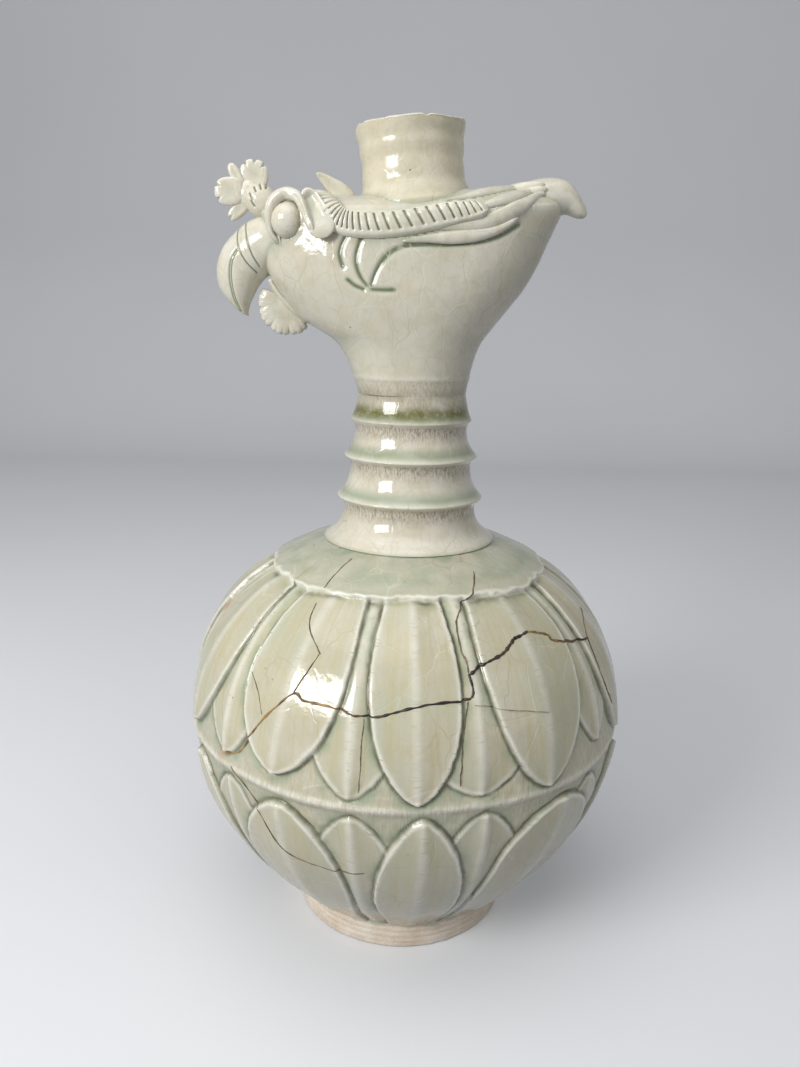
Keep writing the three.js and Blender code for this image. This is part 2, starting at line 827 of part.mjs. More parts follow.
// Four plumes a side, swept back from the cup and the band to the tail crest.
const plumeRoutes = [
  onNape([
    [-33.5, -1.5],
    [-23.6, 0.5],
    [-11.3, 2.5],
  ]),
  onNape([
    [-29.8, -4.7],
    [-22, -3.7],
    [-14, -1.7],
    [-8, -0.1],
  ]),
  onNape([
    [-28.3, -9.8],
    [-20.3, -7.7],
    [-12.3, -4.9],
    [-6.5, -2.5],
  ]),
  onSide([
    [5.3, -4.3],
    [15.2, -3.3],
    [25.2, -1.8],
    [33, 0.5],
    [39.5, 4.5],
  ]),
];
const plume = (side, route) =>
  seated(
    strapOnSkin({
      route,
      halfWidth: roundedEnds(1.8, 0.4),
      halfThickness: roundedEnds(1.8, 0.4),
      lift: 0.6,
      side,
      steps: 7,
      sides: 7,
    }),
    headSeat,
    tailSeat,
    cupSeat,
    bandSolid(side, seatGap),
  );

// The whole pot
const cavity = bellyCavity();
const vessel = new THREE.Group();
vessel.add(
  meshOf("foot_ring", footRing(), biscuit),
  meshOf("lower_body", lowerBody(cavity), glaze),
  meshOf("upper_body", upperBody(cavity), glaze),
  meshOf("neck", neck(), glaze),
);

const head = new THREE.Group();
head.add(
  meshOf("head_shell", headShell(), glaze),
  meshOf("filling_cup", fillingCup(), paleGlaze),
  meshOf("upper_beak", upperBeak(), paleGlaze),
  meshOf("lower_jaw", lowerJaw(), paleGlaze),
  meshOf("wattle", wattle(), paleGlaze),
  meshOf("crest_knob", crestKnob(), paleGlaze),
  meshOf("crest_flower", crestFlower(), paleGlaze),
  meshOf("crown_leaf", crownLeaf(), paleGlaze),
  meshOf("tail_crest", tailCrest(), paleGlaze),
);
for (const [sideName, side] of [
  ["left", -1],
  ["right", 1],
]) {
  head.add(
    meshOf("eyeball_" + sideName, eyeball(side), paleGlaze),
    meshOf("brow_" + sideName, brow(side), paleGlaze),
    meshOf("ear_" + sideName, ear(side), paleGlaze),
    meshOf("feather_band_" + sideName, featherBand(side), paleGlaze),
  );
  plumeRoutes.forEach((route, i) => {
    head.add(meshOf("plume_" + sideName + "_" + (i + 1), plume(side, route), paleGlaze));
  });
}

const ewer = new THREE.Group();
ewer.add(vessel, head);

export default ewer;
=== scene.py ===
from math import cos, hypot, pi, radians, sin

import bmesh
import bpy
import numpy as np
from mathutils import Matrix, Vector
from mathutils.bvhtree import BVHTree


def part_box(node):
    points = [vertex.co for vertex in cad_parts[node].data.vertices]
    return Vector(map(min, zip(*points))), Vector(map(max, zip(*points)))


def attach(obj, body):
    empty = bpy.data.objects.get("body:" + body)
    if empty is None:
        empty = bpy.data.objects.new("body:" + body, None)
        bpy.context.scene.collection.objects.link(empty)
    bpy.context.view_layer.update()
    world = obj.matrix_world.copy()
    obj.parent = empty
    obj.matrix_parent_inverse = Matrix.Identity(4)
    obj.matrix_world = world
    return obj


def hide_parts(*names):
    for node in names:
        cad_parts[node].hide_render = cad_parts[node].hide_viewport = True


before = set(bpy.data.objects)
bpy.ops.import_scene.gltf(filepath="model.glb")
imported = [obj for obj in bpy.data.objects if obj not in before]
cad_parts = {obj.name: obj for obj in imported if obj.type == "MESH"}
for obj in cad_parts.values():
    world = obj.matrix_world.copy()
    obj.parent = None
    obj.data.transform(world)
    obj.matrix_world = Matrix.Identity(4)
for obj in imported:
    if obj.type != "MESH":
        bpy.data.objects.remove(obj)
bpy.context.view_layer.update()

MM = 0.001

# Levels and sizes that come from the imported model
FOOT_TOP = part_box("foot_ring")[1].z / MM
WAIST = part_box("lower_body")[1].z / MM
NECK_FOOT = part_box("upper_body")[1].z / MM
HEAD_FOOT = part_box("neck")[1].z / MM

# Sizes of the thrown pieces
FOOT_BOTTOM_RADIUS = 51.8
FOOT_TOP_RADIUS = 53.2
FOOT_WALL = 8.5
FOOT_CHAMFER = 1.2
FOOT_RECESS = 1.1
BELLY_RADIUS = 102.7
SHOULDER_CURVE = 87.6
SHOULDER_ROUNDNESS = 2.2
BODY_WALL = 6.5
FLOOR_THICKNESS = 6.0
NECK_FOOT_BORE = 25.0
NECK_TOP_BORE = 19.0
NECK_TOP_RADIUS = 24.2
COLLAR_RADIUS = 39.6
COLLAR_FADE = 4.2
NECK_TAPER = 0.132
TAPER_STOPS = 54.0
NECK_RIDGES = [(19.4, 5.0), (38.0, 4.6), (54.3, 3.6)]

# Sizes of the head
HEAD_WALL = 5.0
HEAD_FRONT = 66.0
HEAD_BACK = 58.0
HEAD_HALF_WIDTH = 31.0
GUNWALE_UP = 67.5
FRONT_RISE = 6.5
BACK_RISE = 11.5
CROWN_UP = 84.5
FRONT_SQUARENESS = 2.4
BACK_SQUARENESS = 2.0
CAVITY_FRONT = 47.0
CAVITY_BACK = 44.0
WELL_RADIUS = 14.0
GUNWALE = HEAD_FOOT + GUNWALE_UP
CROWN = HEAD_FOOT + CROWN_UP

# Sizes of the cup
CUP_HEIGHT = 38.2
CUP_WAIST = 21.3
CUP_RIM = 23.4
CUP_FLARE = 5.0
CUP_FLARE_UP = 6.0
CUP_FLARE_FADE = 5.0
CUP_WALL = 3.6
CUP_LEAN = 5.5
CUP_SINK = 5.0


# Small tools for curves and surfaces

def smoothstep(low, high, value):
    share = np.clip((value - low) / (high - low), 0.0, 1.0)
    return share * share * (3.0 - 2.0 * share)


def bell(distance, half_width):
    """1 at distance 0, fading to nothing at about twice the half width."""
    return np.exp(-((distance / half_width) ** 2))


def clay_noise(points, size, seed=0):
    """Smooth noise from -1 to 1 in space, with lumps of a size in mm."""
    place = np.asarray(points) / size
    corner = np.floor(place).astype(np.int64)
    part = smoothstep(0.0, 1.0, place - corner)
    total = np.zeros(len(place))
    for offset in np.ndindex(2, 2, 2):
        x, y, z = (corner + offset).T
        lot = (x * 73856093) ^ (y * 19349663) ^ (z * 83492791) ^ (seed * 40503)
        lot = ((lot & 0xFFFFFF) * 1103515245 + 12345) & 0x7FFFFFFF
        value = ((lot >> 9) & 0xFFFF) / 32767.5 - 1.0
        total += value * np.prod(np.where(offset, part, 1.0 - part), axis=1)
    return total


def smooth_line(points, steps=12):
    """A smooth line through a few points, with a number of steps between each two."""
    points = np.array(points, float)
    padded = [2 * points[0] - points[1], *points, 2 * points[-1] - points[-2]]
    line = []
    for a, b, c, d in zip(padded, padded[1:], padded[2:], padded[3:]):
        for t in np.linspace(0.0, 1.0, steps, endpoint=False):
            line.append(0.5 * (2 * b + (c - a) * t + (2 * a - 5 * b + 4 * c - d) * t**2
                               + (3 * b - a - 3 * c + d) * t**3))
    line.append(points[-1])
    return np.array(line)


def along_line(line, share):
    """The points of a line at shares of its length, counted in its steps."""
    place = np.clip(share, 0.0, 1.0) * (len(line) - 1)
    return np.stack([np.interp(place, np.arange(len(line)), axis) for axis in line.T], axis=-1)


def value_along(points):
    """A smooth value along a few (place, value) points."""
    line = smooth_line(points)
    return lambda place: np.interp(place, line[:, 0], line[:, 1])


def distance_to(line, points):
    """How far each point lies from a line of points, in a plane or in space."""
    nearest = np.full(len(points), np.inf)
    for start, end in zip(line[:-1], line[1:]):
        span = end - start
        share = np.clip((points - start) @ span / max(span @ span, 1e-9), 0.0, 1.0)
        nearest = np.minimum(nearest, np.linalg.norm(points - start - share[:, None] * span, axis=1))
    return nearest


# Small tools for meshes

def tube(columns, rows):
    """An open tube that is cut into rows, to be shaped into a roll or a lobe of clay."""
    bm = bmesh.new()
    bmesh.ops.create_cone(bm, segments=columns, radius1=1.0, radius2=1.0, depth=1.0)
    uprights = [edge for edge in bm.edges if abs(edge.verts[0].co.z - edge.verts[1].co.z) > 0.5]
    bmesh.ops.subdivide_edges(bm, edges=uprights, cuts=rows - 1, use_grid_fill=True)
    return bm


def shaped(columns, rows, place):
    """A tube whose points lie where place(turn, share) says. Rings that fall together are merged."""
    bm = tube(columns, rows)
    start = np.array([vert.co for vert in bm.verts])
    turn = np.arctan2(start[:, 1], start[:, 0])
    share = start[:, 2] + 0.5
    kept = bm.verts.layers.float.new("share")
    for vert, point, row in zip(bm.verts, place(turn, share), share):
        vert.co = point
        vert[kept] = row
    return bm


def thrown(profile, columns):
    """A round wall from a profile of (radius, height) that closes on itself or on the pot's axis."""
    outline = np.array(profile, float)

    def place(turn, share):
        radius, height = along_line(outline, share).T
        return np.stack([radius * np.cos(turn), radius * np.sin(turn), height], axis=1)

    return shaped(columns, len(profile) - 1, place)


def smooth_mesh(bm, name="clay"):
    """A smoothly shaded mesh from a bmesh, which is freed."""
    mesh = bpy.data.meshes.new(name)
    bm.to_mesh(mesh)
    bm.free()
    mesh.shade_smooth()
    return mesh


def mesh_of(bm):
    """Closes seams and poles, turns the faces outwards and makes a mesh."""
    bmesh.ops.remove_doubles(bm, verts=bm.verts, dist=0.002)
    bmesh.ops.recalc_face_normals(bm, faces=bm.faces)
    return smooth_mesh(bm)


def joined(meshes):
    """A bmesh with the faces of some meshes."""
    bm = bmesh.new()
    for mesh in meshes:
        bm.from_mesh(mesh)
    return bm


def points_of(mesh):
    flat = np.empty(3 * len(mesh.vertices))
    mesh.vertices.foreach_get("co", flat)
    return flat.reshape(-1, 3)


def normals_of(mesh):
    flat = np.empty(3 * len(mesh.vertices))
    mesh.vertex_normals.foreach_get("vector", flat)
    return flat.reshape(-1, 3)


def move_points(mesh, points):
    mesh.vertices.foreach_set("co", np.ascontiguousarray(points).ravel())
    mesh.update()


def store(mesh, name, values):
    """Keeps a value per point that a material reads by its name."""
    layer = mesh.attributes.get(name) or mesh.attributes.new(name, "FLOAT", "POINT")
    layer.data.foreach_set("value", np.broadcast_to(values, len(mesh.vertices)).astype(np.float32))


def edge_ends(mesh):
    """The numbers of the two points that each edge joins, as two rows."""
    ends = np.empty(2 * len(mesh.edges), np.int32)
    mesh.edges.foreach_get("vertices", ends)
    return ends.reshape(-1, 2).T


def hollowness(mesh, rounds):
    """How deep each point lies under the smoothed surface in mm. It is below 0 on edges."""
    points = points_of(mesh)
    first, second = edge_ends(mesh)
    count = len(points)
    neighbours = np.bincount(first, minlength=count) + np.bincount(second, minlength=count)
    smooth = points.copy()
    for _ in range(rounds):
        total = [np.bincount(first, axis[second], count) + np.bincount(second, axis[first], count)
                 for axis in smooth.T]
        smooth = np.stack(total, axis=1) / neighbours[:, None]
    depth = ((smooth - points) * normals_of(mesh)).sum(axis=1)
    return depth - np.median(depth)


def tree_of(meshes):
    """A search tree over the faces of some meshes."""
    bm = joined(meshes)
    tree = BVHTree.FromBMesh(bm)
    bm.free()
    return tree


GAP_REACH = 3.0


def gap_to(tree, points):
    """The distance from each point to the nearest face of a tree, up to the reach that matters."""
    gaps = np.full(len(points), GAP_REACH)
    for i, point in enumerate(points):
        distance = tree.find_nearest(point, GAP_REACH)[3]
        if distance is not None:
            gaps[i] = distance
    return gaps


# Colours and materials

# What all the fired and lacquered surfaces share: their index of refraction, the roughness of glaze at its
# glossiest, and how high the bumps of each stand in mm
FIRED_IOR = 1.5
GLAZE_GLOSS = 0.07
GLAZE_BUMP = 0.12
CARVED_BUMP = 0.16
GRIT_BUMP = 0.25
LACQUER_BUMP = 0.15

# How far the crackle's lines wander in mm, and how many times finer the second net of lines is
CRACKLE_BEND = 9.0
FINE_CRACKLE = 3.1


def colour(code):
    """An sRGB hex colour as the linear values that a shader wants."""
    parts = [int(code[i:i + 2], 16) / 255 for i in (1, 3, 5)]
    linear = [part / 12.92 if part <= 0.04045 else ((part + 0.055) / 1.055) ** 2.4 for part in parts]
    return (*linear, 1.0)


def add_node(tree, kind, inputs=None, **settings):
    """Adds a node. Each input is a value, or a node or socket that is linked to it."""
    node = tree.nodes.new("ShaderNode" + kind)
    for name, value in settings.items():
        setattr(node, name, value)
    for name, value in (inputs or {}).items():
        if isinstance(value, bpy.types.Node):
            value = next(output for output in value.outputs if output.enabled)
        if isinstance(value, bpy.types.NodeSocket):
            tree.links.new(value, node.inputs[name])
        else:
            node.inputs[name].default_value = value
    return node


def new_material(name):
    material = bpy.data.materials.new(name)
    material.use_nodes = True
    material.node_tree.nodes.clear()
    return material, material.node_tree


def per_mm(size):
    """The texture scale at which one lump or cell is about a size in mm across."""
    return 1.0 / (size * MM)


def finish_material(tree, base, roughness, height, bump_distance, glow=None, **values):
    """The shader at the end of each material. Uniform values are set on its own sockets."""
    bump = add_node(tree, "Bump", {"Height": height, "Strength": 1.0, "Distance": bump_distance * MM})
    inputs = {"Base Color": base, "Roughness": roughness, "Normal": bump}
    if glow:
        inputs.update({"Emission Color": base, "Emission Strength": glow})
    shader = add_node(tree, "BsdfPrincipled", inputs)
    for name, value in values.items():
        shader.inputs[name.replace("_", " ")].default_value = value
    add_node(tree, "OutputMaterial", {"Surface": shader})


def drawn_out(tree, place, across, along):
    """Places for a texture that follows the pot's sides: across mm wide around it and along mm tall."""
    flat = add_node(tree, "VectorMath", {0: place, 1: (1.0, 1.0, 0.0)}, operation="MULTIPLY")
    spoke = add_node(tree, "VectorMath", {0: flat}, operation="NORMALIZE")
    tall = add_node(tree, "VectorMath", {0: place, 1: (0.0, 0.0, per_mm(along))}, operation="MULTIPLY")
    around = (BELLY_RADIUS / across,) * 3
    return add_node(tree, "VectorMath", {0: spoke, 1: around, 2: tall}, operation="MULTIPLY_ADD")


def coats(tree, base, *layers):
    """Lays coats of colour over a base, one after another. Each covers by its own share."""
    for share, code in layers:
        base = add_node(tree, "Mix", {0: share, 6: base, 7: colour(code)}, data_type="RGBA")
    return base


def part_of(tree, share, name):
    """A share multiplied by a value that the mesh keeps under a name."""
    kept = add_node(tree, "Attribute", attribute_name=name)
    return add_node(tree, "Math", {0: share, 1: kept}, operation="MULTIPLY")


def worn_gloss(tree, place):
    """The roughness of clean glaze: glossy, and a little duller where it is worn."""
    wear = add_node(tree, "TexNoise", {"Vector": place, "Scale": per_mm(18), "Detail": 3.0})
    return add_node(tree, "MapRange", {0: wear, 3: GLAZE_GLOSS, 4: 0.2})


def glaze_layers(tree, ivory, sage, crackle_size, crackle_ink, green="#98a287"):
    """Celadon glaze: a pale grey-green glass over a light body. Where it runs thin on edges it is almost
    white, where it gathers in hollows it is green. It is crazed all over, and dirt sits in the cracks."""
    place = add_node(tree, "TexCoord").outputs["Object"]
    clouds = add_node(tree, "TexNoise", {"Vector": place, "Scale": per_mm(30), "Detail": 4.0})
    cloudy = add_node(tree, "MapRange", {0: clouds, 1: 0.38, 2: 0.66})
    mottle = add_node(
        tree, "TexNoise", {"Vector": place, "Scale": per_mm(7), "Detail": 5.0, "Roughness": 0.6})
    mottled = add_node(tree, "MapRange", {0: mottle, 1: 0.45, 2: 0.75, 3: 0.0, 4: 0.5})
    pool = add_node(tree, "Attribute", attribute_name="pool")
    pooled = add_node(tree, "MapRange", {0: pool, 1: 0.05, 2: 1.0, 3: 0.0, 4: 0.8})
    deep = add_node(tree, "MapRange", {0: pool, 1: 0.7, 2: 1.6, 3: 0.0, 4: 0.85})
    thin = add_node(tree, "Attribute", attribute_name="thin")
    base = coats(tree, colour(ivory), (cloudy, sage), (mottled, "#bdb18b"), (pooled, green),
                 (deep, "#6e6b4f"), (thin, "#e6e2d3"))

    drift = add_node(tree, "TexNoise", {"Vector": place, "Scale": per_mm(15), "Detail": 2.0})
    bend = add_node(tree, "VectorMath", {0: drift.outputs["Color"], 1: (-0.5, -0.5, -0.5)})
    bent = add_node(tree, "VectorMath", {0: bend, 1: (CRACKLE_BEND * MM,) * 3, 2: place},
                    operation="MULTIPLY_ADD")
    slack = add_node(tree, "Mapping", {"Vector": bent, "Scale": (1.0, 1.0, 0.62)})
    cells, fine_cells = [
        add_node(tree, "TexVoronoi", {"Vector": slack, "Scale": per_mm(size)}, feature="DISTANCE_TO_EDGE")
        for size in (crackle_size, crackle_size / FINE_CRACKLE)]
    line = add_node(tree, "MapRange", {0: cells, 1: 0.005, 2: 0.02, 3: 1.0, 4: 0.0})
    fine_line = add_node(tree, "MapRange", {0: fine_cells, 1: 0.012, 2: 0.045, 3: 0.16, 4: 0.0})
    ink = add_node(tree, "TexNoise", {"Vector": place, "Scale": per_mm(26), "Detail": 1.0})
    dark_share = add_node(tree, "MapRange", {0: ink, 1: 0.48, 2: 0.66, 3: 0.0, 4: crackle_ink})
    pale_share = add_node(tree, "MapRange", {0: ink, 1: 0.34, 2: 0.52, 3: 0.35, 4: 0.08})
    pale_cracks = add_node(tree, "Math", {0: line, 1: pale_share}, operation="MULTIPLY")
    dark_cracks = add_node(tree, "Math", {0: line, 1: dark_share}, operation="MULTIPLY")
    specks = add_node(tree, "TexVoronoi", {"Vector": place, "Scale": per_mm(11), "Randomness": 1.0})
    speckled = add_node(tree, "MapRange", {0: specks, 1: 0.02, 2: 0.05, 3: 0.7, 4: 0.0})
    base = coats(tree, base, (pale_cracks, "#e4dfca"), (dark_cracks, "#8f7f58"), (fine_line, "#a8a082"),
                 (speckled, "#5d4d35"))

    peel = add_node(tree, "TexNoise", {"Vector": place, "Scale": per_mm(4.5), "Detail": 3.0})
    height = add_node(tree, "Math", {0: line, 1: -0.25, 2: peel}, operation="MULTIPLY_ADD")
    return place, base, height


def celadon(name, ivory, sage, crackle_size, crackle_ink):
    """A celadon for a part of the pot where the glaze lies clean."""
    material, tree = new_material(name)
    place, base, height = glaze_layers(tree, ivory, sage, crackle_size, crackle_ink)
    finish_material(tree, base, worn_gloss(tree, place), height, GLAZE_BUMP, IOR=FIRED_IOR)
    return material


def carved_celadon():
    """Celadon over the carved belly. The faces are creamy with ochre runs, the rims pale, a painted
    highlight along the keels, the knife cuts dark with small ticks across them, and the combed ground keeps
    green pools."""
    material, tree = new_material("celadon over carved petals")
    place, base, height = glaze_layers(tree, "#c5c0ac", "#b8baa6", 17, 0.34)
    runs = add_node(
        tree, "TexNoise", {"Vector": drawn_out(tree, place, 2.6, 34), "Scale": 1.0, "Detail": 3.0})
    run_share = add_node(tree, "MapRange", {0: runs, 1: 0.4, 2: 0.66, 3: 0.15, 4: 0.7})
    comb = add_node(
        tree, "TexNoise", {"Vector": drawn_out(tree, place, 0.9, 5), "Scale": 1.0, "Detail": 3.0})
    comb_share = add_node(tree, "MapRange", {0: comb, 1: 0.42, 2: 0.64, 3: 0.1, 4: 0.6})
    pools = add_node(tree, "TexNoise", {"Vector": place, "Scale": per_mm(12), "Detail": 3.0})
    pool_share = add_node(tree, "MapRange", {0: pools, 1: 0.4, 2: 0.6, 3: 0.0, 4: 0.75})
    rims = add_node(tree, "TexNoise", {"Vector": place, "Scale": per_mm(8), "Detail": 4.0})
    rim_share = add_node(tree, "MapRange", {0: rims, 1: 0.3, 2: 0.6, 3: 0.35, 4: 0.95})
    cuts = add_node(tree, "TexNoise", {"Vector": place, "Scale": per_mm(9), "Detail": 4.0})
    cut_share = add_node(tree, "MapRange", {0: cuts, 1: 0.32, 2: 0.6, 3: 0.35, 4: 0.95})
    ticks = add_node(
        tree, "TexNoise", {"Vector": drawn_out(tree, place, 7.0, 0.75), "Scale": 1.0, "Detail": 2.0})
    tick_share = add_node(tree, "MapRange", {0: ticks, 1: 0.6, 2: 0.68, 3: 0.0, 4: 0.55})
    bare = add_node(tree, "TexNoise", {"Vector": place, "Scale": per_mm(3), "Detail": 4.0})
    bare_share = add_node(tree, "MapRange", {0: bare, 1: 0.2, 2: 0.5})
    grime = add_node(tree, "Attribute", attribute_name="grime")
    burnt = add_node(tree, "MapRange", {0: grime, 1: 1.0, 2: 1.5, 3: 0.0, 4: 0.9})
    base = coats(
        tree, base,
        (part_of(tree, run_share, "flank"), "#bab08a"),
        (part_of(tree, comb_share, "ground"), "#b3a78a"),
        (part_of(tree, pool_share, "pocket"), "#8d9c80"),
        # Pale rims, and along the keels a painted highlight
        (part_of(tree, rim_share, "rim"), "#e2dfd0"),
        (part_of(tree, rim_share, "lip"), "#e6e5d6"),
        (part_of(tree, cut_share, "cut"), "#5b5841"),
        (part_of(tree, tick_share, "rim"), "#7f7a60"),
        (part_of(tree, bare_share, "grime"), "#b3947a"),
        (burnt, "#5e4232"))

    matt = add_node(tree, "Attribute", attribute_name="ground")
    gloss = worn_gloss(tree, place)
    roughness = add_node(tree, "Math", {0: matt, 1: 0.16, 2: gloss}, operation="MULTIPLY_ADD")
    combed = part_of(tree, comb, "ground")
    height = add_node(tree, "Math", {0: combed, 1: 1.6, 2: height}, operation="MULTIPLY_ADD")
    finish_material(tree, base, roughness, height, CARVED_BUMP, IOR=FIRED_IOR)
    return material


def stained_celadon(name, ivory, sage, crackle_size, crackle_ink):
    """Celadon on neck and head. It pooled green on the ridges, ash and iron ran down below them in brown
    streaks, and around the joint with the head it burnt olive."""
    material, tree = new_material(name)
    place, base, height = glaze_layers(tree, ivory, sage, crackle_size, crackle_ink, green="#8b9e83")
    runs = add_node(tree, "TexNoise", {
        "Vector": drawn_out(tree, place, 2.6, 2.4), "Scale": 1.0, "Detail": 5.0, "Roughness": 0.8})
    run_share = add_node(tree, "MapRange", {0: runs, 1: 0.44, 2: 0.62, 3: 0.1, 4: 0.9})
    streaks = part_of(tree, run_share, "streak")
    patches = add_node(
        tree, "TexNoise", {"Vector": place, "Scale": per_mm(5), "Detail": 5.0, "Roughness": 0.75})
    patch_share = add_node(tree, "MapRange", {0: patches, 1: 0.3, 2: 0.55, 3: 0.25, 4: 1.0})
    base = coats(tree, base, (streaks, "#7b6b58"), (part_of(tree, patch_share, "olive"), "#6e6c3c"))
    roughness = add_node(tree, "MapRange", {0: streaks, 3: GLAZE_GLOSS, 4: 0.3})
    finish_material(tree, base, roughness, height, GLAZE_BUMP, IOR=FIRED_IOR)
    return material


def biscuit_clay():
    """Bare fired stoneware on the foot: warm, dry and sandy, with splashes of glaze at its top."""
    material, tree = new_material("bare stoneware")
    place = add_node(tree, "TexCoord").outputs["Object"]
    clouds = add_node(
        tree, "TexNoise", {"Vector": place, "Scale": per_mm(13), "Detail": 6.0, "Roughness": 0.65})
    cloudy = add_node(tree, "MapRange", {0: clouds, 1: 0.36, 2: 0.64})
    grit = add_node(
        tree, "TexNoise", {"Vector": place, "Scale": per_mm(0.8), "Detail": 4.0, "Roughness": 0.8})
    gritty = add_node(tree, "MapRange", {0: grit, 1: 0.52, 2: 0.7, 3: 0.0, 4: 0.5})
    splash = add_node(tree, "Attribute", attribute_name="splash")
    edge = add_node(tree, "TexNoise", {"Vector": place, "Scale": per_mm(9), "Detail": 4.0})
    level = add_node(tree, "Math", {0: splash, 1: edge}, operation="ADD")
    glazed = add_node(tree, "MapRange", {0: level, 1: 0.98, 2: 1.04})
    base = coats(tree, colour("#f3e8d8"), (cloudy, "#e0cdb5"), (gritty, "#94785a"), (glazed, "#c9c5ad"))
    roughness = add_node(tree, "MapRange", {0: glazed, 3: 0.82, 4: 0.2})
    finish_material(tree, base, roughness, grit, GRIT_BUMP, IOR=FIRED_IOR)
    return material


def aged_lacquer(name, light, dark):
    """Lacquer in a mended break: dark and glossy, with the last of its gold powder worn to a tan line."""
    material, tree = new_material(name)
    place = add_node(tree, "TexCoord").outputs["Object"]
    worn = add_node(
        tree, "TexNoise", {"Vector": place, "Scale": per_mm(11), "Detail": 3.0, "Roughness": 0.7})
    worn_share = add_node(tree, "MapRange", {0: worn, 1: 0.42, 2: 0.58})
    base = coats(tree, colour(light), (worn_share, dark))
    grain = add_node(tree, "TexNoise", {"Vector": place, "Scale": per_mm(0.9), "Detail": 3.0})
    roughness = add_node(tree, "MapRange", {0: grain, 3: 0.25, 4: 0.55})
    finish_material(tree, base, roughness, grain, LACQUER_BUMP, IOR=FIRED_IOR)
    return material


BODY_GLAZE = carved_celadon()
HEAD_GLAZE = stained_celadon("celadon glaze on the head", "#d5cfbd", "#c7c4b2", 15, 0.24)
CUP_GLAZE = celadon("warm celadon glaze", "#dbd2bb", "#d0c9b0", 12, 0.35)
TRIM_GLAZE = celadon("pale celadon glaze", "#dfdaca", "#d2cebd", 16, 0.18)
NECK_GLAZE = stained_celadon("stained celadon glaze", "#dbd4c3", "#cdc8b6", 17, 0.3)
BISCUIT = biscuit_clay()
GOLDEN_MEND = aged_lacquer("worn gold lacquer", "#a3834c", "#5a4527")
DARK_MEND = aged_lacquer("dark lacquer", "#4b3a27", "#191410")
HAIRLINE = aged_lacquer("dirt in a hairline crack", "#7b6a4e", "#4d4131")


def put_in_scene(name, data):
    """An object for a mesh, a lamp or a camera."""
    thing = bpy.data.objects.new(name, data)
    bpy.context.scene.collection.objects.link(thing)
    return thing


def add_piece(name, mesh, material, nodes=()):
    """Makes a piece of the object from a mesh in mm. It replaces the named CAD nodes."""
    if "share" in mesh.attributes:
        mesh.attributes.remove(mesh.attributes["share"])
    mesh.transform(Matrix.Scale(MM, 4))
    mesh.materials.append(material)
    piece = put_in_scene(name, mesh)
    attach(piece, "root")
    if nodes:
        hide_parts(*nodes)


def store_glaze(mesh, rounds=14, depth=0.35, corner=0.0, fade=1.0):
    """Green where the glaze gathers in hollows and in corners between pieces, pale where it runs thin.
    Fade is 0 where a joint runs on smoothly."""
    deep = hollowness(mesh, rounds) * fade
    store(mesh, "pool", np.clip(deep / depth, 0.0, 1.6) + corner)
    store(mesh, "thin", np.clip(-deep / depth - 0.15, 0.0, 1.0) * 0.8)


# The belly with its carved petals

GROUND_DEPTH = 2.8
BACK_DEPTH = 1.5
BACK_KEEL = 0.4
FRONT_KEEL = 0.1
PETAL_SLOPE = 0.9
PETAL_FLANK = 0.3
PETAL_RIM = 0.14
EDGE_FOOT = 0.4
EDGE_ROUND = 0.7
GROOVE_DEPTH = 0.45
SHOULDER_LINE = 175.2
SHOULDER_LEDGE = 0.7
SEAM_RIDGE = 103.4
SEAM_HEIGHT = 1.0
TIP_POWER = 0.61
NARROWS_FROM = 48.0
NARROWS_OVER = 20.0
COLUMN_CROWD = 0.55
PETAL_MARKS = ("ground", "cut", "rim", "flank", "pocket")

# The petals in view from left to right: middle angle, tip level, half angle, length of the pointed
# part, and lean in degrees per mm. The others follow behind.
UPPER_FRONT_SEEN = [
    (-67.0, 108.5, 12.0, 50.0, 0.1), (-30.8, 109.9, 14.5, 45.0, 0.04), (2.9, 106.0, 11.5, 50.0, -0.02),
    (34.6, 105.4, 16.8, 73.0, 0.015), (70.5, 107.0, 11.5, 50.0, 0.0)]
UPPER_BACK_SEEN = [
    (-48.0, 108.0, 12.0, 45.0, 0.0), (-12.4, 106.5, 13.0, 50.0, 0.0), (17.0, 108.2, 13.0, 25.0, 0.0),
    (54.5, 113.0, 11.0, 45.0, 0.0)]
LOWER_FRONT_SEEN = [
    (-63.0, 98.0, 13.5, 50.0, 0.0), (-29.5, 98.3, 15.0, 45.0, 0.0), (4.3, 99.6, 12.3, 60.0, 0.0),
    (40.5, 97.3, 14.6, 25.0, -0.1)]
LOWER_BACK_SEEN = [
    (-46.0, 99.0, 12.3, 50.0, 0.0), (-11.9, 98.8, 12.3, 50.0, 0.0), (18.5, 100.2, 12.3, 50.0, 0.0)]
UNSEEN_FRONTS = 7


def belly_radius(z):
    """The belly's outer radius on the petal faces."""
    z = np.asarray(z, float)
    low = np.clip((z - FOOT_TOP) / (WAIST - FOOT_TOP), 0.0, 1.0)
    high = np.clip((z - WAIST) / SHOULDER_CURVE, 0.0, 0.9999)
    below = FOOT_TOP_RADIUS + (BELLY_RADIUS - FOOT_TOP_RADIUS) * (1.0 - (1.0 - low) ** 2)
    above = BELLY_RADIUS * (1.0 - high ** SHOULDER_ROUNDNESS) ** (1.0 / SHOULDER_ROUNDNESS)
    return np.where(z < WAIST, below, above)


LEVELS = np.linspace(FOOT_TOP, NECK_FOOT, 700)
ARC_STEPS = np.hypot(np.diff(LEVELS), np.diff(belly_radius(LEVELS)))
ARC_LENGTHS = np.concatenate([[0.0], np.cumsum(ARC_STEPS)])


def arc_at(z):
    """The length along the belly's side from its foot."""
    return np.interp(z, LEVELS, ARC_LENGTHS)


def half_angle(from_tip, widest, curve):
    """How wide a petal is to each side at a distance from its tip, in degrees."""
    share = np.clip(from_tip / curve, 0.0, 1.0)
    past = np.clip((from_tip - NARROWS_FROM) / NARROWS_OVER, 0.0, 1.3)
    return widest * (1.0 - (1.0 - share) ** 2) ** TIP_POWER * (1.0 - 0.1 * past**2)


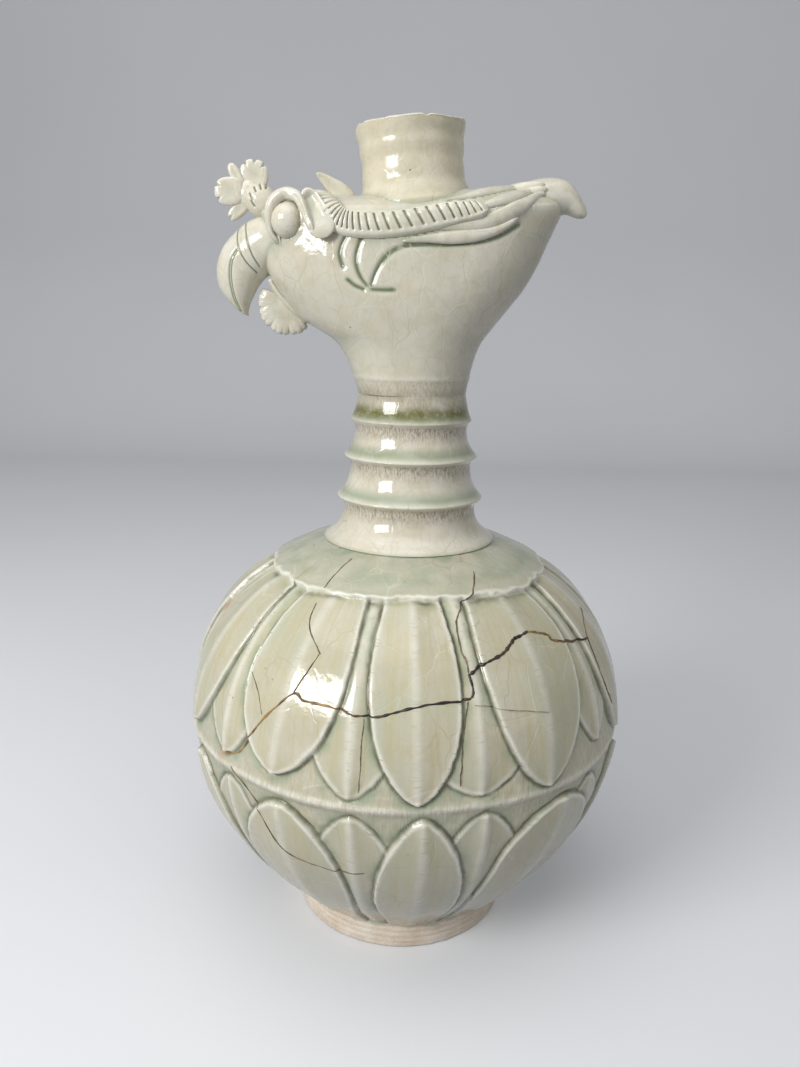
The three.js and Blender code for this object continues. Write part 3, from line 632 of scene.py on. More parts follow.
def all_round(seen, unseen, tip, widest):
    """The petals in view and the others evenly behind, a little uneven as carved by hand."""
    step = (360.0 + seen[0][0] - seen[-1][0]) / (unseen + 1)
    behind = [(seen[-1][0] + step * (i + 1), tip + sin(5.1 * i), widest, 50.0, 0.018 * sin(3.3 * i))
              for i in range(unseen)]
    return seen + behind


def crowded_levels(low, high, count, crowds):
    """Levels up the belly's side that lie closer together around some heights."""
    fine = np.linspace(low, high, 800)
    weight = 1.0 + sum(share * bell(fine - place, spread) for place, spread, share in crowds)
    length = np.concatenate([[0.0], np.cumsum(np.diff(arc_at(fine)) * weight[1:])])
    return np.interp(np.linspace(0.0, length[-1], count), length, fine)


def gather_columns(angle, z, petals, rises):
    """Moves the columns of a turned wall so that they run along the petals' edges and crowd there."""
    middles, tips, halves, curves, leans = np.array(petals).T
    following = np.roll(middles, -1)
    following[-1] += 360.0
    ends = (middles + halves + following - np.roll(halves, -1)) / 2
    starts = np.roll(ends, 1)
    starts[0] -= 360.0
    place = (angle - starts[0]) % 360.0
    cell = np.clip(np.searchsorted(starts - starts[0], place, side="right") - 1, 0, len(petals) - 1)
    start, width = starts[cell], (ends - starts)[cell]
    from_tip = np.clip(rises * (z - tips[cell]), 0.0, None)
    half = np.minimum(np.maximum(half_angle(from_tip, halves[cell], curves[cell]), 4.0), width / 2 - 1.5)
    middle = middles[cell] + leans[cell] * from_tip
    left, right = (middle - half - start) / width, (middle + half - start) / width
    gap_left, gap_right = 0.6 * left + 0.05, 0.6 * (1.0 - right) + 0.05
    share = (place - (start - starts[0])) / width
    before = np.clip(share / gap_left, 0.0, 1.0)
    on_face = np.clip((share - gap_left) / (1.0 - gap_left - gap_right), 0.0, 1.0)
    after = np.clip((share - 1.0 + gap_right) / gap_right, 0.0, 1.0)
    even = 1.0 - COLUMN_CROWD
    moved = left * (COLUMN_CROWD * (1.0 - (1.0 - before) ** 2) + even * before)
    moved += (right - left) * (COLUMN_CROWD * smoothstep(0.0, 1.0, on_face) + even * on_face)
    moved += (1.0 - right) * (COLUMN_CROWD * after**2 + even * after)
    past_tip = smoothstep(8.0, 26.0, from_tip)
    return start + (share + (moved - share) * past_tip) * width


def lay_petals(relief, angle, z, petals, rises, face, keel):
    """Lays one layer of petals over the relief carved so far. Rises is 1 for hanging petals, whose tips
    are at the bottom, and -1 for upright ones."""
    radius = belly_radius(z)
    arc = arc_at(z)
    for middle, tip, widest, curve, lean in petals:
        from_tip = rises * (z - tip)
        off = (angle - middle - lean * from_tip + 180.0) % 360.0 - 180.0
        near = (np.abs(off) < widest + 7.0) & (from_tip > -9.0)
        across = np.abs(np.radians(off[near])) * radius[near]
        steps = 90.0 * np.linspace(0.0, 1.0, 30) ** 1.9
        levels = np.clip(tip + rises * steps, FOOT_TOP, NECK_FOOT)
        widths = np.radians(half_angle(steps, widest, curve)) * belly_radius(levels)
        outline = np.stack([widths, arc_at(levels)], axis=1)
        gap = distance_to(outline, np.stack([across, arc[near]], axis=1))
        half = np.interp(from_tip[near], steps, widths, left=0.0)
        inside = (across < half) & (from_tip[near] > 0.0)
        within = np.where(inside, gap, -gap) + relief["jitter"][near]
        share = np.clip(across / np.maximum(half, 2.0), 0.0, 1.0)
        surface = face - PETAL_SLOPE * np.sqrt(share**2 + 0.01) - PETAL_FLANK * np.sin(pi * share) ** 2
        surface += keel * bell(across, 2.2) + PETAL_RIM * bell(within - 1.1, 0.8)
        cover = smoothstep(-EDGE_FOOT, EDGE_ROUND, within)
        groove = GROOVE_DEPTH * bell(within + 0.6, 0.6)
        bare = 1.0 - cover
        relief["height"][near] = relief["height"][near] * bare + surface * cover - groove
        # Painted highlight: a pale stripe along each petal's keel, where its crest catches the light
        painted_keel_highlight = 0.45 * bell(across - 0.6, 1.4) * cover * smoothstep(1.0, 6.0, from_tip[near])
        marks = {
            "cut": bell(within + 0.5, 0.7),
            "rim": np.maximum(0.75 * bell(within - 1.0, 1.0), painted_keel_highlight),
            "pocket": bell(np.minimum(within + 1.2, 0.0), 2.6) * bare,
        }
        for kept, mark in marks.items():
            relief[kept][near] = np.maximum(relief[kept][near] * bare, mark)
        relief["ground"][near] *= bare
        relief["flank"][near] = relief["flank"][near] * bare + cover * np.sin(pi * share**0.9)


UPPER_FRONTS = all_round(UPPER_FRONT_SEEN, UNSEEN_FRONTS, 107.0, 11.5)
UPPER_BACKS = all_round(UPPER_BACK_SEEN, UNSEEN_FRONTS + 1, 107.5, 11.5)
LOWER_FRONTS = all_round(LOWER_FRONT_SEEN, UNSEEN_FRONTS, 98.0, 13.0)
LOWER_BACKS = all_round(LOWER_BACK_SEEN, UNSEEN_FRONTS + 1, 99.2, 12.3)


def stains(points):
    """Where bare clay shows by the breaks: patches, each with its middle and its size."""
    places = [((-82.9, -21.0, 156.0), 5.5), ((-75.9, -21.2, 163.4), 3.5), ((-86.8, -52.9, 118.6), 1.6),
              ((-77.0, -67.8, 107.0), 3.5), ((15.0, -101.1, 113.0), 2.2)]
    near = sum(bell(np.linalg.norm(points - middle, axis=1), size) for middle, size in places)
    return near * np.clip(0.8 + clay_noise(points, 4.0, 61), 0.0, 1.0)


def carve(points):
    """The relief of the carved belly: how far its surface stands from the plain round, and what shows."""
    angle = np.degrees(np.arctan2(points[:, 0], -points[:, 1]))
    z = points[:, 2]
    turn = np.radians(angle)
    rough = clay_noise(points, 5.0, 3) + 0.6 * clay_noise(points, 2.2, 5)
    seam = SEAM_RIDGE + 0.5 * np.sin(2 * turn + 0.6) + 0.4 * np.sin(7 * turn) + 0.35 * rough
    ridge = SEAM_HEIGHT * (0.75 + 0.4 * clay_noise(points, 16.0, 6))
    mound = 0.9 * bell(z - seam - 1.5, 6.0)
    relief = {
        "height": -GROUND_DEPTH + 0.28 * rough + ridge * bell(z - seam, 2.0) + mound,
        "ground": np.ones(len(z)),
        "cut": 0.25 * bell(z - seam + 2.2, 1.0),
        "rim": 0.22 * bell(z - seam, 1.8),
        "flank": np.zeros(len(z)),
        "pocket": 0.5 * bell(z - seam + 5.0, 3.0),
        "jitter": 0.24 * clay_noise(points, 3.0, 14) + 0.14 * clay_noise(points, 1.5, 15),
    }
    lay_petals(relief, angle, z, UPPER_BACKS, 1, -BACK_DEPTH, BACK_KEEL)
    lay_petals(relief, angle, z, LOWER_BACKS, -1, -BACK_DEPTH, BACK_KEEL)
    lay_petals(relief, angle, z, UPPER_FRONTS, 1, 0.0, FRONT_KEEL)
    lay_petals(relief, angle, z, LOWER_FRONTS, -1, 0.0, FRONT_KEEL)
    corners = np.abs(np.sin(6.0 * (turn - radians(3.0))))
    line = SHOULDER_LINE + 0.2 - 0.6 * corners**2 + 0.4 * np.sin(4 * turn + 1.0) + 0.45 * rough
    above = smoothstep(-0.3, 0.3, z - line)
    below = 1.0 - above
    under = SHOULDER_LEDGE * np.exp(-np.clip(line - z, 0.0, None) / 3.0) * below
    rings = 0.12 * np.sin(1.1 * (z - line)) * smoothstep(2.0, 5.0, z - line)
    lip = 0.3 * bell(z - line - 0.6, 0.6) * (0.7 + 0.6 * rough)
    relief["height"] = (relief["height"] - under) * below + (lip + rings) * above
    relief["height"] *= 0.75 + 0.25 * smoothstep(FOOT_TOP, FOOT_TOP + 9.0, z)
    relief["height"] += 0.12 * clay_noise(points, 17.0, 1)
    for kept in PETAL_MARKS:
        relief[kept] *= below
    relief["lip"] = bell(z - line - 0.2, 0.55)
    patchy = np.clip(clay_noise(points, 7.0, 16) + 0.35, 0.0, 1.0)
    shoulder_green_and_joint_shade = 0.5 + 0.15 * np.sin(1.1 * (z - line) + 2.0)
    # Painted shade: greener and darker over the shoulder's top 3 mm, in the joint under the neck's collar
    shoulder_green_and_joint_shade += 0.4 * smoothstep(NECK_FOOT - 3.0, NECK_FOOT, z)
    relief["cut"] = np.maximum(relief["cut"], 0.8 * bell(z - line + 1.1, 0.7) * below * patchy)
    relief["pocket"] = np.maximum(relief["pocket"], 0.8 * bell(z - line + 1.8, 1.8) * below * patchy)
    relief["pocket"] = np.maximum(relief["pocket"], shoulder_green_and_joint_shade * smoothstep(0.5, 3.5, z - line))
    return relief


def belly_half(levels, petals, rises):
    """One thrown half of the belly, carved on its outside."""
    low, high = levels[0], levels[-1]
    outer = [(float(belly_radius(z)), float(z)) for z in levels]
    inner_levels = np.linspace(high, max(low, FOOT_TOP + FLOOR_THICKNESS), 8)
    inner = [(max(float(belly_radius(z)) - BODY_WALL, NECK_FOOT_BORE), float(z)) for z in inner_levels]
    if low == FOOT_TOP:
        profile = [(0.0, low)] + outer + inner + [(0.0, inner[-1][1])]
    else:
        profile = outer + inner + outer[:1]
    mesh = mesh_of(thrown(profile, BELLY_COLUMNS))
    points = points_of(mesh)
    radius = np.hypot(points[:, 0], points[:, 1])
    z = points[:, 2].copy()
    angle = np.degrees(np.arctan2(points[:, 0], -points[:, 1]))
    turn = np.radians(gather_columns(angle, z, petals, rises))
    outwards = np.stack([np.sin(turn), -np.cos(turn)], axis=1)
    points[:, :2] = outwards * radius[:, None]
    skin = np.abs(radius - belly_radius(z)) < 0.05
    steep = np.clip(z, FOOT_TOP + 0.5, NECK_FOOT - 0.5)
    slope = belly_radius(steep + 0.5) - belly_radius(steep - 0.5)
    relief = carve(points[skin])
    height = np.zeros(len(z))
    height[skin] = relief["height"] / np.hypot(1.0, slope[skin])
    points[:, :2] += outwards * height[:, None]
    inner_rows = (z > low + 0.01) & (z < high - 0.01)
    points[:, 2] -= np.where(inner_rows, height * slope, 0.0)
    move_points(mesh, points)
    store_glaze(mesh, 8, 0.45, fade=smoothstep(NECK_FOOT, NECK_FOOT - 2.0, z))
    relief["grime"] = stains(points[skin])
    for kept in (*PETAL_MARKS, "lip", "grime"):
        values = np.zeros(len(z))
        values[skin] = relief[kept]
        store(mesh, kept, values)
    return mesh


def sharpen_rings(mesh, levels):
    """Keeps the edges of level joints crisp under smooth shading."""
    heights = points_of(mesh)[:, 2]
    first, second = heights[edge_ends(mesh)]
    sharp = np.zeros(len(mesh.edges), bool)
    for level in levels:
        sharp |= (np.abs(first - level) < 0.01) & (np.abs(second - level) < 0.01)
    mesh.edges.foreach_set("use_edge_sharp", sharp)


BELLY_COLUMNS = 720
LOWER_LEVELS = crowded_levels(FOOT_TOP, WAIST, 122, [(93.0, 8.0, 1.3)])
UPPER_LEVELS = crowded_levels(WAIST, NECK_FOOT, 126, [(111.0, 8.0, 1.2), (SHOULDER_LINE, 2.2, 2.5)])
LOWER_MESH = belly_half(LOWER_LEVELS, LOWER_FRONTS, -1)
UPPER_MESH = belly_half(UPPER_LEVELS, UPPER_FRONTS, 1)
sharpen_rings(LOWER_MESH, [FOOT_TOP, WAIST])
sharpen_rings(UPPER_MESH, [WAIST])
BELLY_TREE = tree_of([LOWER_MESH, UPPER_MESH])


# The foot ring

ROUND_COLUMNS = 320


def foot_ring():
    """The turned ring of bare clay, a little uneven, with chips along its lower edge."""
    inner_bottom = FOOT_BOTTOM_RADIUS - FOOT_WALL
    top_radius = FOOT_TOP_RADIUS - FOOT_RECESS
    side = [(float(np.interp(z, [FOOT_CHAMFER, FOOT_TOP], [FOOT_BOTTOM_RADIUS, top_radius])), float(z))
            for z in np.linspace(FOOT_CHAMFER, FOOT_TOP, 14)]
    profile = [(inner_bottom + FOOT_CHAMFER, 0.0), (FOOT_BOTTOM_RADIUS - 2 * FOOT_CHAMFER, 0.0),
               (FOOT_BOTTOM_RADIUS - FOOT_CHAMFER, 0.0), (FOOT_BOTTOM_RADIUS - 0.4, FOOT_CHAMFER / 3)]
    profile += side
    profile += [(top_radius - FOOT_WALL, FOOT_TOP), (inner_bottom, FOOT_CHAMFER), profile[0]]
    mesh = mesh_of(thrown(profile, ROUND_COLUMNS))
    points = points_of(mesh)
    radius = np.hypot(points[:, 0], points[:, 1])
    turned = 0.18 * np.sin(points[:, 2] * 2.1) + 0.22 * clay_noise(points, 9.0, 8)
    chips = -0.9 * np.clip(clay_noise(points, 6.0, 11) - 0.45, 0.0, 1.0) * bell(points[:, 2], 2.0)
    outside = (radius > FOOT_BOTTOM_RADIUS - 3.0) & (points[:, 2] > 0.2)
    scale = 1.0 + np.where(outside, turned + chips - 0.2, 0.0) / np.maximum(radius, 1.0)
    points[:, :2] *= scale[:, None]
    move_points(mesh, points)
    store(mesh, "splash", 0.62 * smoothstep(FOOT_TOP - 6.0, FOOT_TOP, points[:, 2]))
    add_piece("foot", mesh, BISCUIT, ["foot_ring"])


# The neck with its three ridges

NECK_HEIGHT = HEAD_FOOT - NECK_FOOT


def neck_radius(up):
    """The neck's outer radius. Each ridge slopes gently above its lip and is cut in sharply below."""
    cone = NECK_TOP_RADIUS + NECK_TAPER * np.clip(TAPER_STOPS - up, 0.0, None)
    collar = (COLLAR_RADIUS - cone) * np.exp(-((up / COLLAR_FADE) ** 1.3))
    ridges = 0.4
    for place, height in NECK_RIDGES:
        width = np.where(up > place, 4.0, 2.0)
        ridges = ridges + (height - 0.7) * np.exp(-((np.abs(up - place) / width) ** 1.25))
    return cone + collar + ridges * smoothstep(0.0, 6.0, NECK_HEIGHT - up)


def neck():
    """The neck, with glaze in the corners over its ridges, streaks below them and painted shade at its
    foot.
    """
    ups = np.linspace(0.0, NECK_HEIGHT, 170)
    tuck = 0.5 * np.exp(-((ups / 1.3) ** 2))
    outer = [(float(neck_radius(up) - inset), NECK_FOOT + float(up)) for up, inset in zip(ups, tuck)]
    profile = [(NECK_FOOT_BORE, NECK_FOOT)] + outer
    profile += [(NECK_TOP_BORE, HEAD_FOOT), (NECK_FOOT_BORE, NECK_FOOT)]
    mesh = mesh_of(thrown(profile, ROUND_COLUMNS))
    sharpen_rings(mesh, [NECK_FOOT, HEAD_FOOT])
    points = points_of(mesh)
    up = points[:, 2] - NECK_FOOT
    down = NECK_HEIGHT - up
    turn = np.arctan2(points[:, 1], points[:, 0])
    radius = np.hypot(points[:, 0], points[:, 1])
    skin = np.abs(radius - neck_radius(up)) < 1.4
    ends = smoothstep(0.0, 3.0, up) * smoothstep(0.0, 3.0, down)
    uneven = 0.25 * clay_noise(points, 14.0, 21) + 0.1 * np.sin(2 * turn + 0.13 * up)
    points[:, :2] *= (1.0 + np.where(skin, ends * uneven, 0.0) / radius)[:, None]
    move_points(mesh, points)
    ledge = np.zeros(len(up))
    streak = np.zeros(len(up))
    edge = np.zeros(len(up))
    for place, _ in NECK_RIDGES:
        ledge = np.maximum(ledge, bell(up - place - 2.8, 2.6))
        streak = np.maximum(streak, smoothstep(1.0, 2.0, place - up) * smoothstep(10.5, 3.0, place - up))
        edge = np.maximum(edge, bell(up - place, 1.1))
    streak = np.maximum(streak, 0.5 * smoothstep(NECK_HEIGHT - 9.0, NECK_HEIGHT - 5.0, up))
    # Green pools on the ledges over the ridges; the green at the very foot is painted shade in the joint
    # with the shoulder
    store(mesh, "pool", 0.8 * ledge + 0.6 * bell(up, 0.8))
    store(mesh, "thin", 0.6 * edge + 0.3 * bell(up - 3.0, 2.0))
    store(mesh, "streak", streak)
    store(mesh, "olive", bell(up - 58.5, 3.3) + 0.25 * bell(up - 42.0, 2.5) + 0.3 * bell(down, 3.0))
    add_piece("ridged_neck", mesh, NECK_GLAZE, ["neck"])


# The head's plain skin

throat = value_along([
    (0, NECK_TOP_RADIUS), (10, NECK_TOP_RADIUS + 3.4), (18, NECK_TOP_RADIUS + 7.3), (23, HEAD_FRONT - 30),
    (28, HEAD_FRONT - 21.5), (34, HEAD_FRONT - 14), (49, HEAD_FRONT - 3), (GUNWALE_UP, HEAD_FRONT)])
nape = value_along([
    (0, NECK_TOP_RADIUS), (10, NECK_TOP_RADIUS + 1.8), (21, NECK_TOP_RADIUS + 5.3), (29, HEAD_BACK - 23),
    (38, HEAD_BACK - 16), (45, HEAD_BACK - 10.5), (55, HEAD_BACK - 5), (GUNWALE_UP, HEAD_BACK)])
cheek = value_along([
    (0, NECK_TOP_RADIUS), (10, NECK_TOP_RADIUS + 1.4), (23, HEAD_HALF_WIDTH - 3),
    (38, HEAD_HALF_WIDTH - 0.3), (48, HEAD_HALF_WIDTH), (GUNWALE_UP, HEAD_HALF_WIDTH - 1.2)])
crown_up = value_along([
    (-HEAD_FRONT, CROWN_UP - 3), (-50, CROWN_UP), (-28, CROWN_UP - 2), (0, CROWN_UP),
    (HEAD_BACK, CROWN_UP + 5)])


def head_point(turn, level, grow=0.0, front_limit=1e3, back_limit=1e3):
    """A point of the head's skin. Turn 0 is the nape and half a turn the beak. Level 0 to 1 climbs the
    wall, and 1 to 2 goes over the crown to its middle."""
    cosine, sine = np.cos(turn), np.sin(turn)
    front = cosine < 0.0
    power = 2.0 / np.where(front, FRONT_SQUARENESS, BACK_SQUARENESS)
    share_x = np.sign(cosine) * np.abs(cosine) ** power
    share_y = np.sign(sine) * np.abs(sine) ** power
    rim_up = GUNWALE_UP + np.where(front, FRONT_RISE, BACK_RISE) * cosine**2
    up = rim_up * np.minimum(level, 1.0)
    ahead = np.minimum(throat(up) + grow, front_limit)
    behind = np.minimum(nape(up) + grow, back_limit)
    reach = np.where(front, ahead, behind)
    spread = np.clip(2.0 - level, 0.0, 1.0)
    x = reach * share_x * spread
    y = (cheek(up) + grow) * share_y * spread
    dome = rim_up + (crown_up(x) + grow - rim_up) * np.sqrt(1.0 - spread**2)
    return np.stack([x, y, HEAD_FOOT + np.where(level > 1.0, dome, up)], axis=-1)


def crown_height(x, y):
    """The level of the crown's plain skin over a point."""
    front = x < 0.0
    square = np.where(front, FRONT_SQUARENESS, BACK_SQUARENESS)
    reach = np.where(front, HEAD_FRONT, HEAD_BACK)
    spread = (np.abs(x / reach) ** square + np.abs(y / HEAD_HALF_WIDTH) ** square) ** (1.0 / square)
    toward = (np.abs(x / reach) / np.maximum(spread, 1e-6)) ** square
    rim_up = GUNWALE_UP + np.where(front, FRONT_RISE, BACK_RISE) * toward
    return HEAD_FOOT + rim_up + (crown_up(x) - rim_up) * np.sqrt(np.clip(1.0 - spread**2, 0.0, 1.0))


HEAD_COLUMNS = 560
WALL_ROWS = 100
CROWN_ROWS = 52
WELL_ROWS = 4
INNER_ROWS = 18
HEAD_ROWS = WALL_ROWS + CROWN_ROWS + INNER_ROWS
OUTSIDE_SHARE = (WALL_ROWS + CROWN_ROWS) / HEAD_ROWS


def head_place(turn, share):
    """The head as one closed skin: up the wall, over the crown, down the well and back inside."""
    row = np.round(share * HEAD_ROWS)
    wall_level = (row / WALL_ROWS) ** 0.95
    crown_share = (row - WALL_ROWS) / CROWN_ROWS
    crown_level = 1.0 + 0.78 * np.clip(crown_share, 0.0, 1.0) ** 1.5
    level = np.where(row <= WALL_ROWS, wall_level, crown_level)
    points = head_point(turn, level)
    to_well = smoothstep(0.45, 1.0, crown_share)[:, None]
    circle = WELL_RADIUS * np.stack([np.cos(turn), np.sin(turn)], axis=1)
    on_crown = row > WALL_ROWS
    bent = points[:, :2] * (1.0 - to_well) + circle * to_well
    points[on_crown, :2] = bent[on_crown]
    points[on_crown, 2] = crown_height(points[on_crown, 0], points[on_crown, 1])
    inner_row = row - WALL_ROWS - CROWN_ROWS
    down = (inner_row > 0) & (inner_row <= WELL_ROWS)
    points[down, 2] -= 1.6 * inner_row[down]
    inside = inner_row > WELL_ROWS
    inner_level = np.interp(inner_row, [WELL_ROWS, INNER_ROWS - 1], [1.62, 0.0])
    inner = head_point(turn, inner_level, -HEAD_WALL, CAVITY_FRONT, CAVITY_BACK)
    inner[:, :2] = np.where(inner_row[:, None] <= WELL_ROWS + 1, circle * 1.05, inner[:, :2])
    points[inside] = inner[inside]
    last = inner_row >= INNER_ROWS
    points[last] = head_point(turn[last], np.zeros(last.sum()))
    return points


HEAD_MESH = mesh_of(shaped(HEAD_COLUMNS, HEAD_ROWS, head_place))
SKIN_TREE = tree_of([HEAD_MESH])

# How far to the side a place is clear of the head, and where to look for it if it lies above or behind
CLEAR_ASIDE = 90.0
EDGE_ASIDE = 20.0


def skin_beside(tree, x, z, side):
    """The point of a skin beside a point of the side view, and the outward direction there."""
    point, normal, _, _ = tree.ray_cast(Vector((x, CLEAR_ASIDE * side, z)), Vector((0.0, -side, 0.0)))
    if point is None:
        point, normal, _, _ = tree.find_nearest(Vector((x, EDGE_ASIDE * side, z)))
    return np.array(point), np.array(normal)


# Places on the head, as distances from its face, its side and its nape

def on_face(points):
    return [(x - HEAD_FRONT, GUNWALE + z) for x, z in points]


def on_nape(points):
    return [(x + HEAD_BACK, CROWN + z) for x, z in points]


def beside_cheek(points):
    """Points given as x, z and how far they lie inside the head's greatest half width."""
    return [(x, HEAD_HALF_WIDTH - inset, z) for x, z, inset in points]


# Lobes, rolls and straps of clay

def rounded_ends(share, length):
    """1 along a piece and rounded down to nothing over a part of its length at each end."""
    end = np.clip(np.minimum(share, 1.0 - share) / length, 0.0, 1.0)
    return np.sqrt(1.0 - (1.0 - end) ** 2)


def lobe(upper, lower, half_width, columns, rows, relief=None, blunt=0.06):
    """A lobe of clay on the head's middle plane, between an upper and a lower line of (x, z) points."""
    top, bottom = smooth_line(upper), smooth_line(lower)

    def place(turn, share):
        high, low = along_line(top, share), along_line(bottom, share)
        middle, half = (high + low) / 2, (high - low) / 2
        swell = rounded_ends(share, blunt)
        extra = relief(turn, share) if relief else 0.0
        length = np.maximum(np.linalg.norm(half, axis=1), 0.1)
        tall = np.sin(turn) * swell * (1.0 + extra / length)
        wide = np.cos(turn) * swell * (half_width(share) + extra)
        x = middle[:, 0] + half[:, 0] * tall
        z = middle[:, 1] + half[:, 1] * tall
        return np.stack([x, wide, z], axis=1)

    return mesh_of(shaped(columns, rows, place))


def strap(centres, outwards, half_width, half_thickness, columns, rows, relief=None, end=0.1):
    """A strap of clay along a line of centres, its face towards the outward directions."""
    centres, outwards = np.array(centres), np.array(outwards)
    ahead = np.gradient(centres, axis=0)
    ahead /= np.linalg.norm(ahead, axis=1)[:, None]

    def place(turn, share):
        middle = along_line(centres, share)
        outward = along_line(outwards, share)
        outward /= np.linalg.norm(outward, axis=1)[:, None]
        across = np.cross(along_line(ahead, share), outward)
        across /= np.linalg.norm(across, axis=1)[:, None]
        swell = rounded_ends(share, end)
        wide = np.cos(turn) * half_width(share) * swell
        thick = np.sin(turn) * half_thickness(share) * swell
        if relief:
            thick = thick + relief(turn, share) * swell
        return middle + across * wide[:, None] + outward * thick[:, None]

    return mesh_of(shaped(columns, rows, place))


ROUTE_STEPS = 60


def apart(found):
    """Pairs of a point and a direction as two arrays."""
    points, directions = zip(*found)
    return np.array(points), np.array(directions)


def strap_on_skin(tree, route, side, lift, **shape):
    """A strap that lies on a skin along (x, z) points of the side view."""
    line = along_line(smooth_line(route), np.linspace(0.0, 1.0, ROUTE_STEPS))
    centres, normals = apart([skin_beside(tree, x, z, side) for x, z in line])
    for _ in range(8):
        for values in (centres, normals):
            values[1:-1] = (values[:-2] + 2 * values[1:-1] + values[2:]) / 4
    return strap(centres + lift * normals, normals, **shape)


def strap_in_space(route, side, upward_tilt, **shape):
    """A strap that stands off the skin along (x, y, z) points, facing out and a little up."""
    line = along_line(smooth_line(route), np.linspace(0.0, 1.0, ROUTE_STEPS))
    line[:, 1] *= side
    outward = np.array([0.0, side, upward_tilt]) / hypot(1.0, upward_tilt)
    return strap(line, np.tile(outward, (ROUTE_STEPS, 1)), **shape)


def disc(middle, outline, half_thickness, columns, rows, relief, aside=0.0):
    """A flat cake of clay in the side view, with a rounded edge. Its outline is a radius for each turn."""
    def place(turn, share):
        spread = (2.0 * np.minimum(share, 1.0 - share)) ** 0.6
        face = np.where(share < 0.5, 1.0, -1.0)
        radius = outline(turn) * spread
        thick = half_thickness * np.sqrt(np.clip(1.0 - spread**5, 0.0, 1.0)) + relief(turn, spread)
        x = middle[0] + radius * np.cos(turn)
        z = middle[1] + radius * np.sin(turn)
        return np.stack([x, thick * face + aside, z], axis=1)

    return mesh_of(shaped(columns, rows, place))


def ball(centre, radii, lean, columns, rows):
    """An egg of clay, leaning in the side view."""
    lean_cos, lean_sin = cos(radians(lean)), sin(radians(lean))

    def place(turn, share):
        tilt = pi * share
        x = radii[0] * np.sin(tilt) * np.cos(turn)
        y = radii[1] * np.sin(tilt) * np.sin(turn)
        z = -radii[2] * np.cos(tilt)
        return np.stack([centre[0] + x * lean_cos + z * lean_sin, centre[1] + y,
                         centre[2] + z * lean_cos - x * lean_sin], axis=1)

    return mesh_of(shaped(columns, rows, place))


# The cup on the crown

CUP_COLUMNS = 256


def cup():
    """The cup, thrown a little uneven and leaning, with small chips out of its rim."""
    def wall(up):
        return CUP_WAIST + (CUP_RIM - CUP_WAIST) * np.clip(2.0 * up / CUP_HEIGHT - 1.0, 0.0, None) ** 1.5

    def skirt(up):
        return CUP_FLARE * np.exp(-((np.clip(up - CUP_FLARE_UP, 0.0, None) / CUP_FLARE_FADE) ** 1.3))

    outer_ups = np.linspace(0.0, CUP_HEIGHT - 1.0, 90)
    inner_ups = np.linspace(CUP_HEIGHT - 1.2, -2.0, 26)
    rim_middle = float(wall(CUP_HEIGHT)) - CUP_WALL / 2
    rim = [(rim_middle + CUP_WALL / 2 * cos(t), CUP_HEIGHT - 1.0 + sin(t))
           for t in np.linspace(0.15, pi - 0.15, 9)]
    profile = [(float(wall(up) + skirt(up)), float(up)) for up in outer_ups] + rim
    profile += [(float(wall(up)) - CUP_WALL, float(up)) for up in inner_ups]
    profile += profile[:1]
    mesh = mesh_of(thrown(profile, CUP_COLUMNS))
    points = points_of(mesh)
    up = points[:, 2].copy()
    turn = np.arctan2(points[:, 1], points[:, 0])
    high = smoothstep(0.55, 1.0, up / CUP_HEIGHT)
    wave = 0.45 * np.sin(2 * turn + 0.4) + 0.3 * np.sin(5 * turn + 2.0) + 0.25 * clay_noise(points, 3.0, 30)
    chips = np.clip(clay_noise(points * (1, 1, 0.1), 3.2, 34) - 0.3, 0.0, 1.0)
    points[:, 2] += high * (wave - 0.6) - 1.3 * chips * smoothstep(CUP_HEIGHT - 3.0, CUP_HEIGHT, up)
    dents = 0.35 * clay_noise(points, 16.0, 31) + 0.16 * np.sin(0.75 * up + 0.6 * np.sin(turn))
    points[:, :2] *= (1.0 + dents / np.hypot(points[:, 0], points[:, 1]))[:, None]
    lean = radians(CUP_LEAN)
    x, z = points[:, 0].copy(), points[:, 2].copy()
    points[:, 0] = x * cos(lean) - z * sin(lean)
    points[:, 2] = x * sin(lean) + z * cos(lean) + GUNWALE + CUP_SINK
    move_points(mesh, points)
    return mesh


# The beak, jaw, wattle and crest

def cut_lines(mesh, routes, depth, half_width, where=1.0):
    """Cuts lines into a mesh along (x, z) routes of the side view. Returns 1 in them and 0 beside them."""
    points = points_of(mesh)
    side_view = points[:, [0, 2]]
    nearest = np.min([distance_to(smooth_line(route), side_view) for route in routes], axis=0)
    sinking = depth * bell(nearest, half_width) * where
    move_points(mesh, points - normals_of(mesh) * sinking[:, None])
    return sinking / depth


def upper_beak():
    return lobe(
        upper=on_face([(8, 5.5), (4, 6.3), (-5, 4), (-13, -2.2), (-17.9, -8.4), (-20.4, -16.7),
                       (-18.9, -25.1), (-13, -32.1), (-9.4, -35.2)]),
        lower=on_face([(13, -14), (9, -15.2), (5, -17), (0.5, -20), (-2.4, -23.5), (-4.6, -27.5),
                       (-6.2, -31), (-7.0, -34), (-6.9, -35.9)]),
        half_width=lambda share: 1.4 + 11.1 * (1.0 - share**1.8) + 7.4 * np.exp(-((share / 0.15) ** 2)),
        columns=150, rows=190, blunt=0.02)


def lower_jaw():
    return lobe(
        upper=on_face([(1.5, -20.5), (5.5, -27), (12, -34), (19, -39)]),
        lower=on_face([(5.5, -19), (10, -25.5), (16, -31.5), (22, -36)]),
        half_width=lambda share: 9.5 - 3.0 * share,
        columns=48, rows=70)


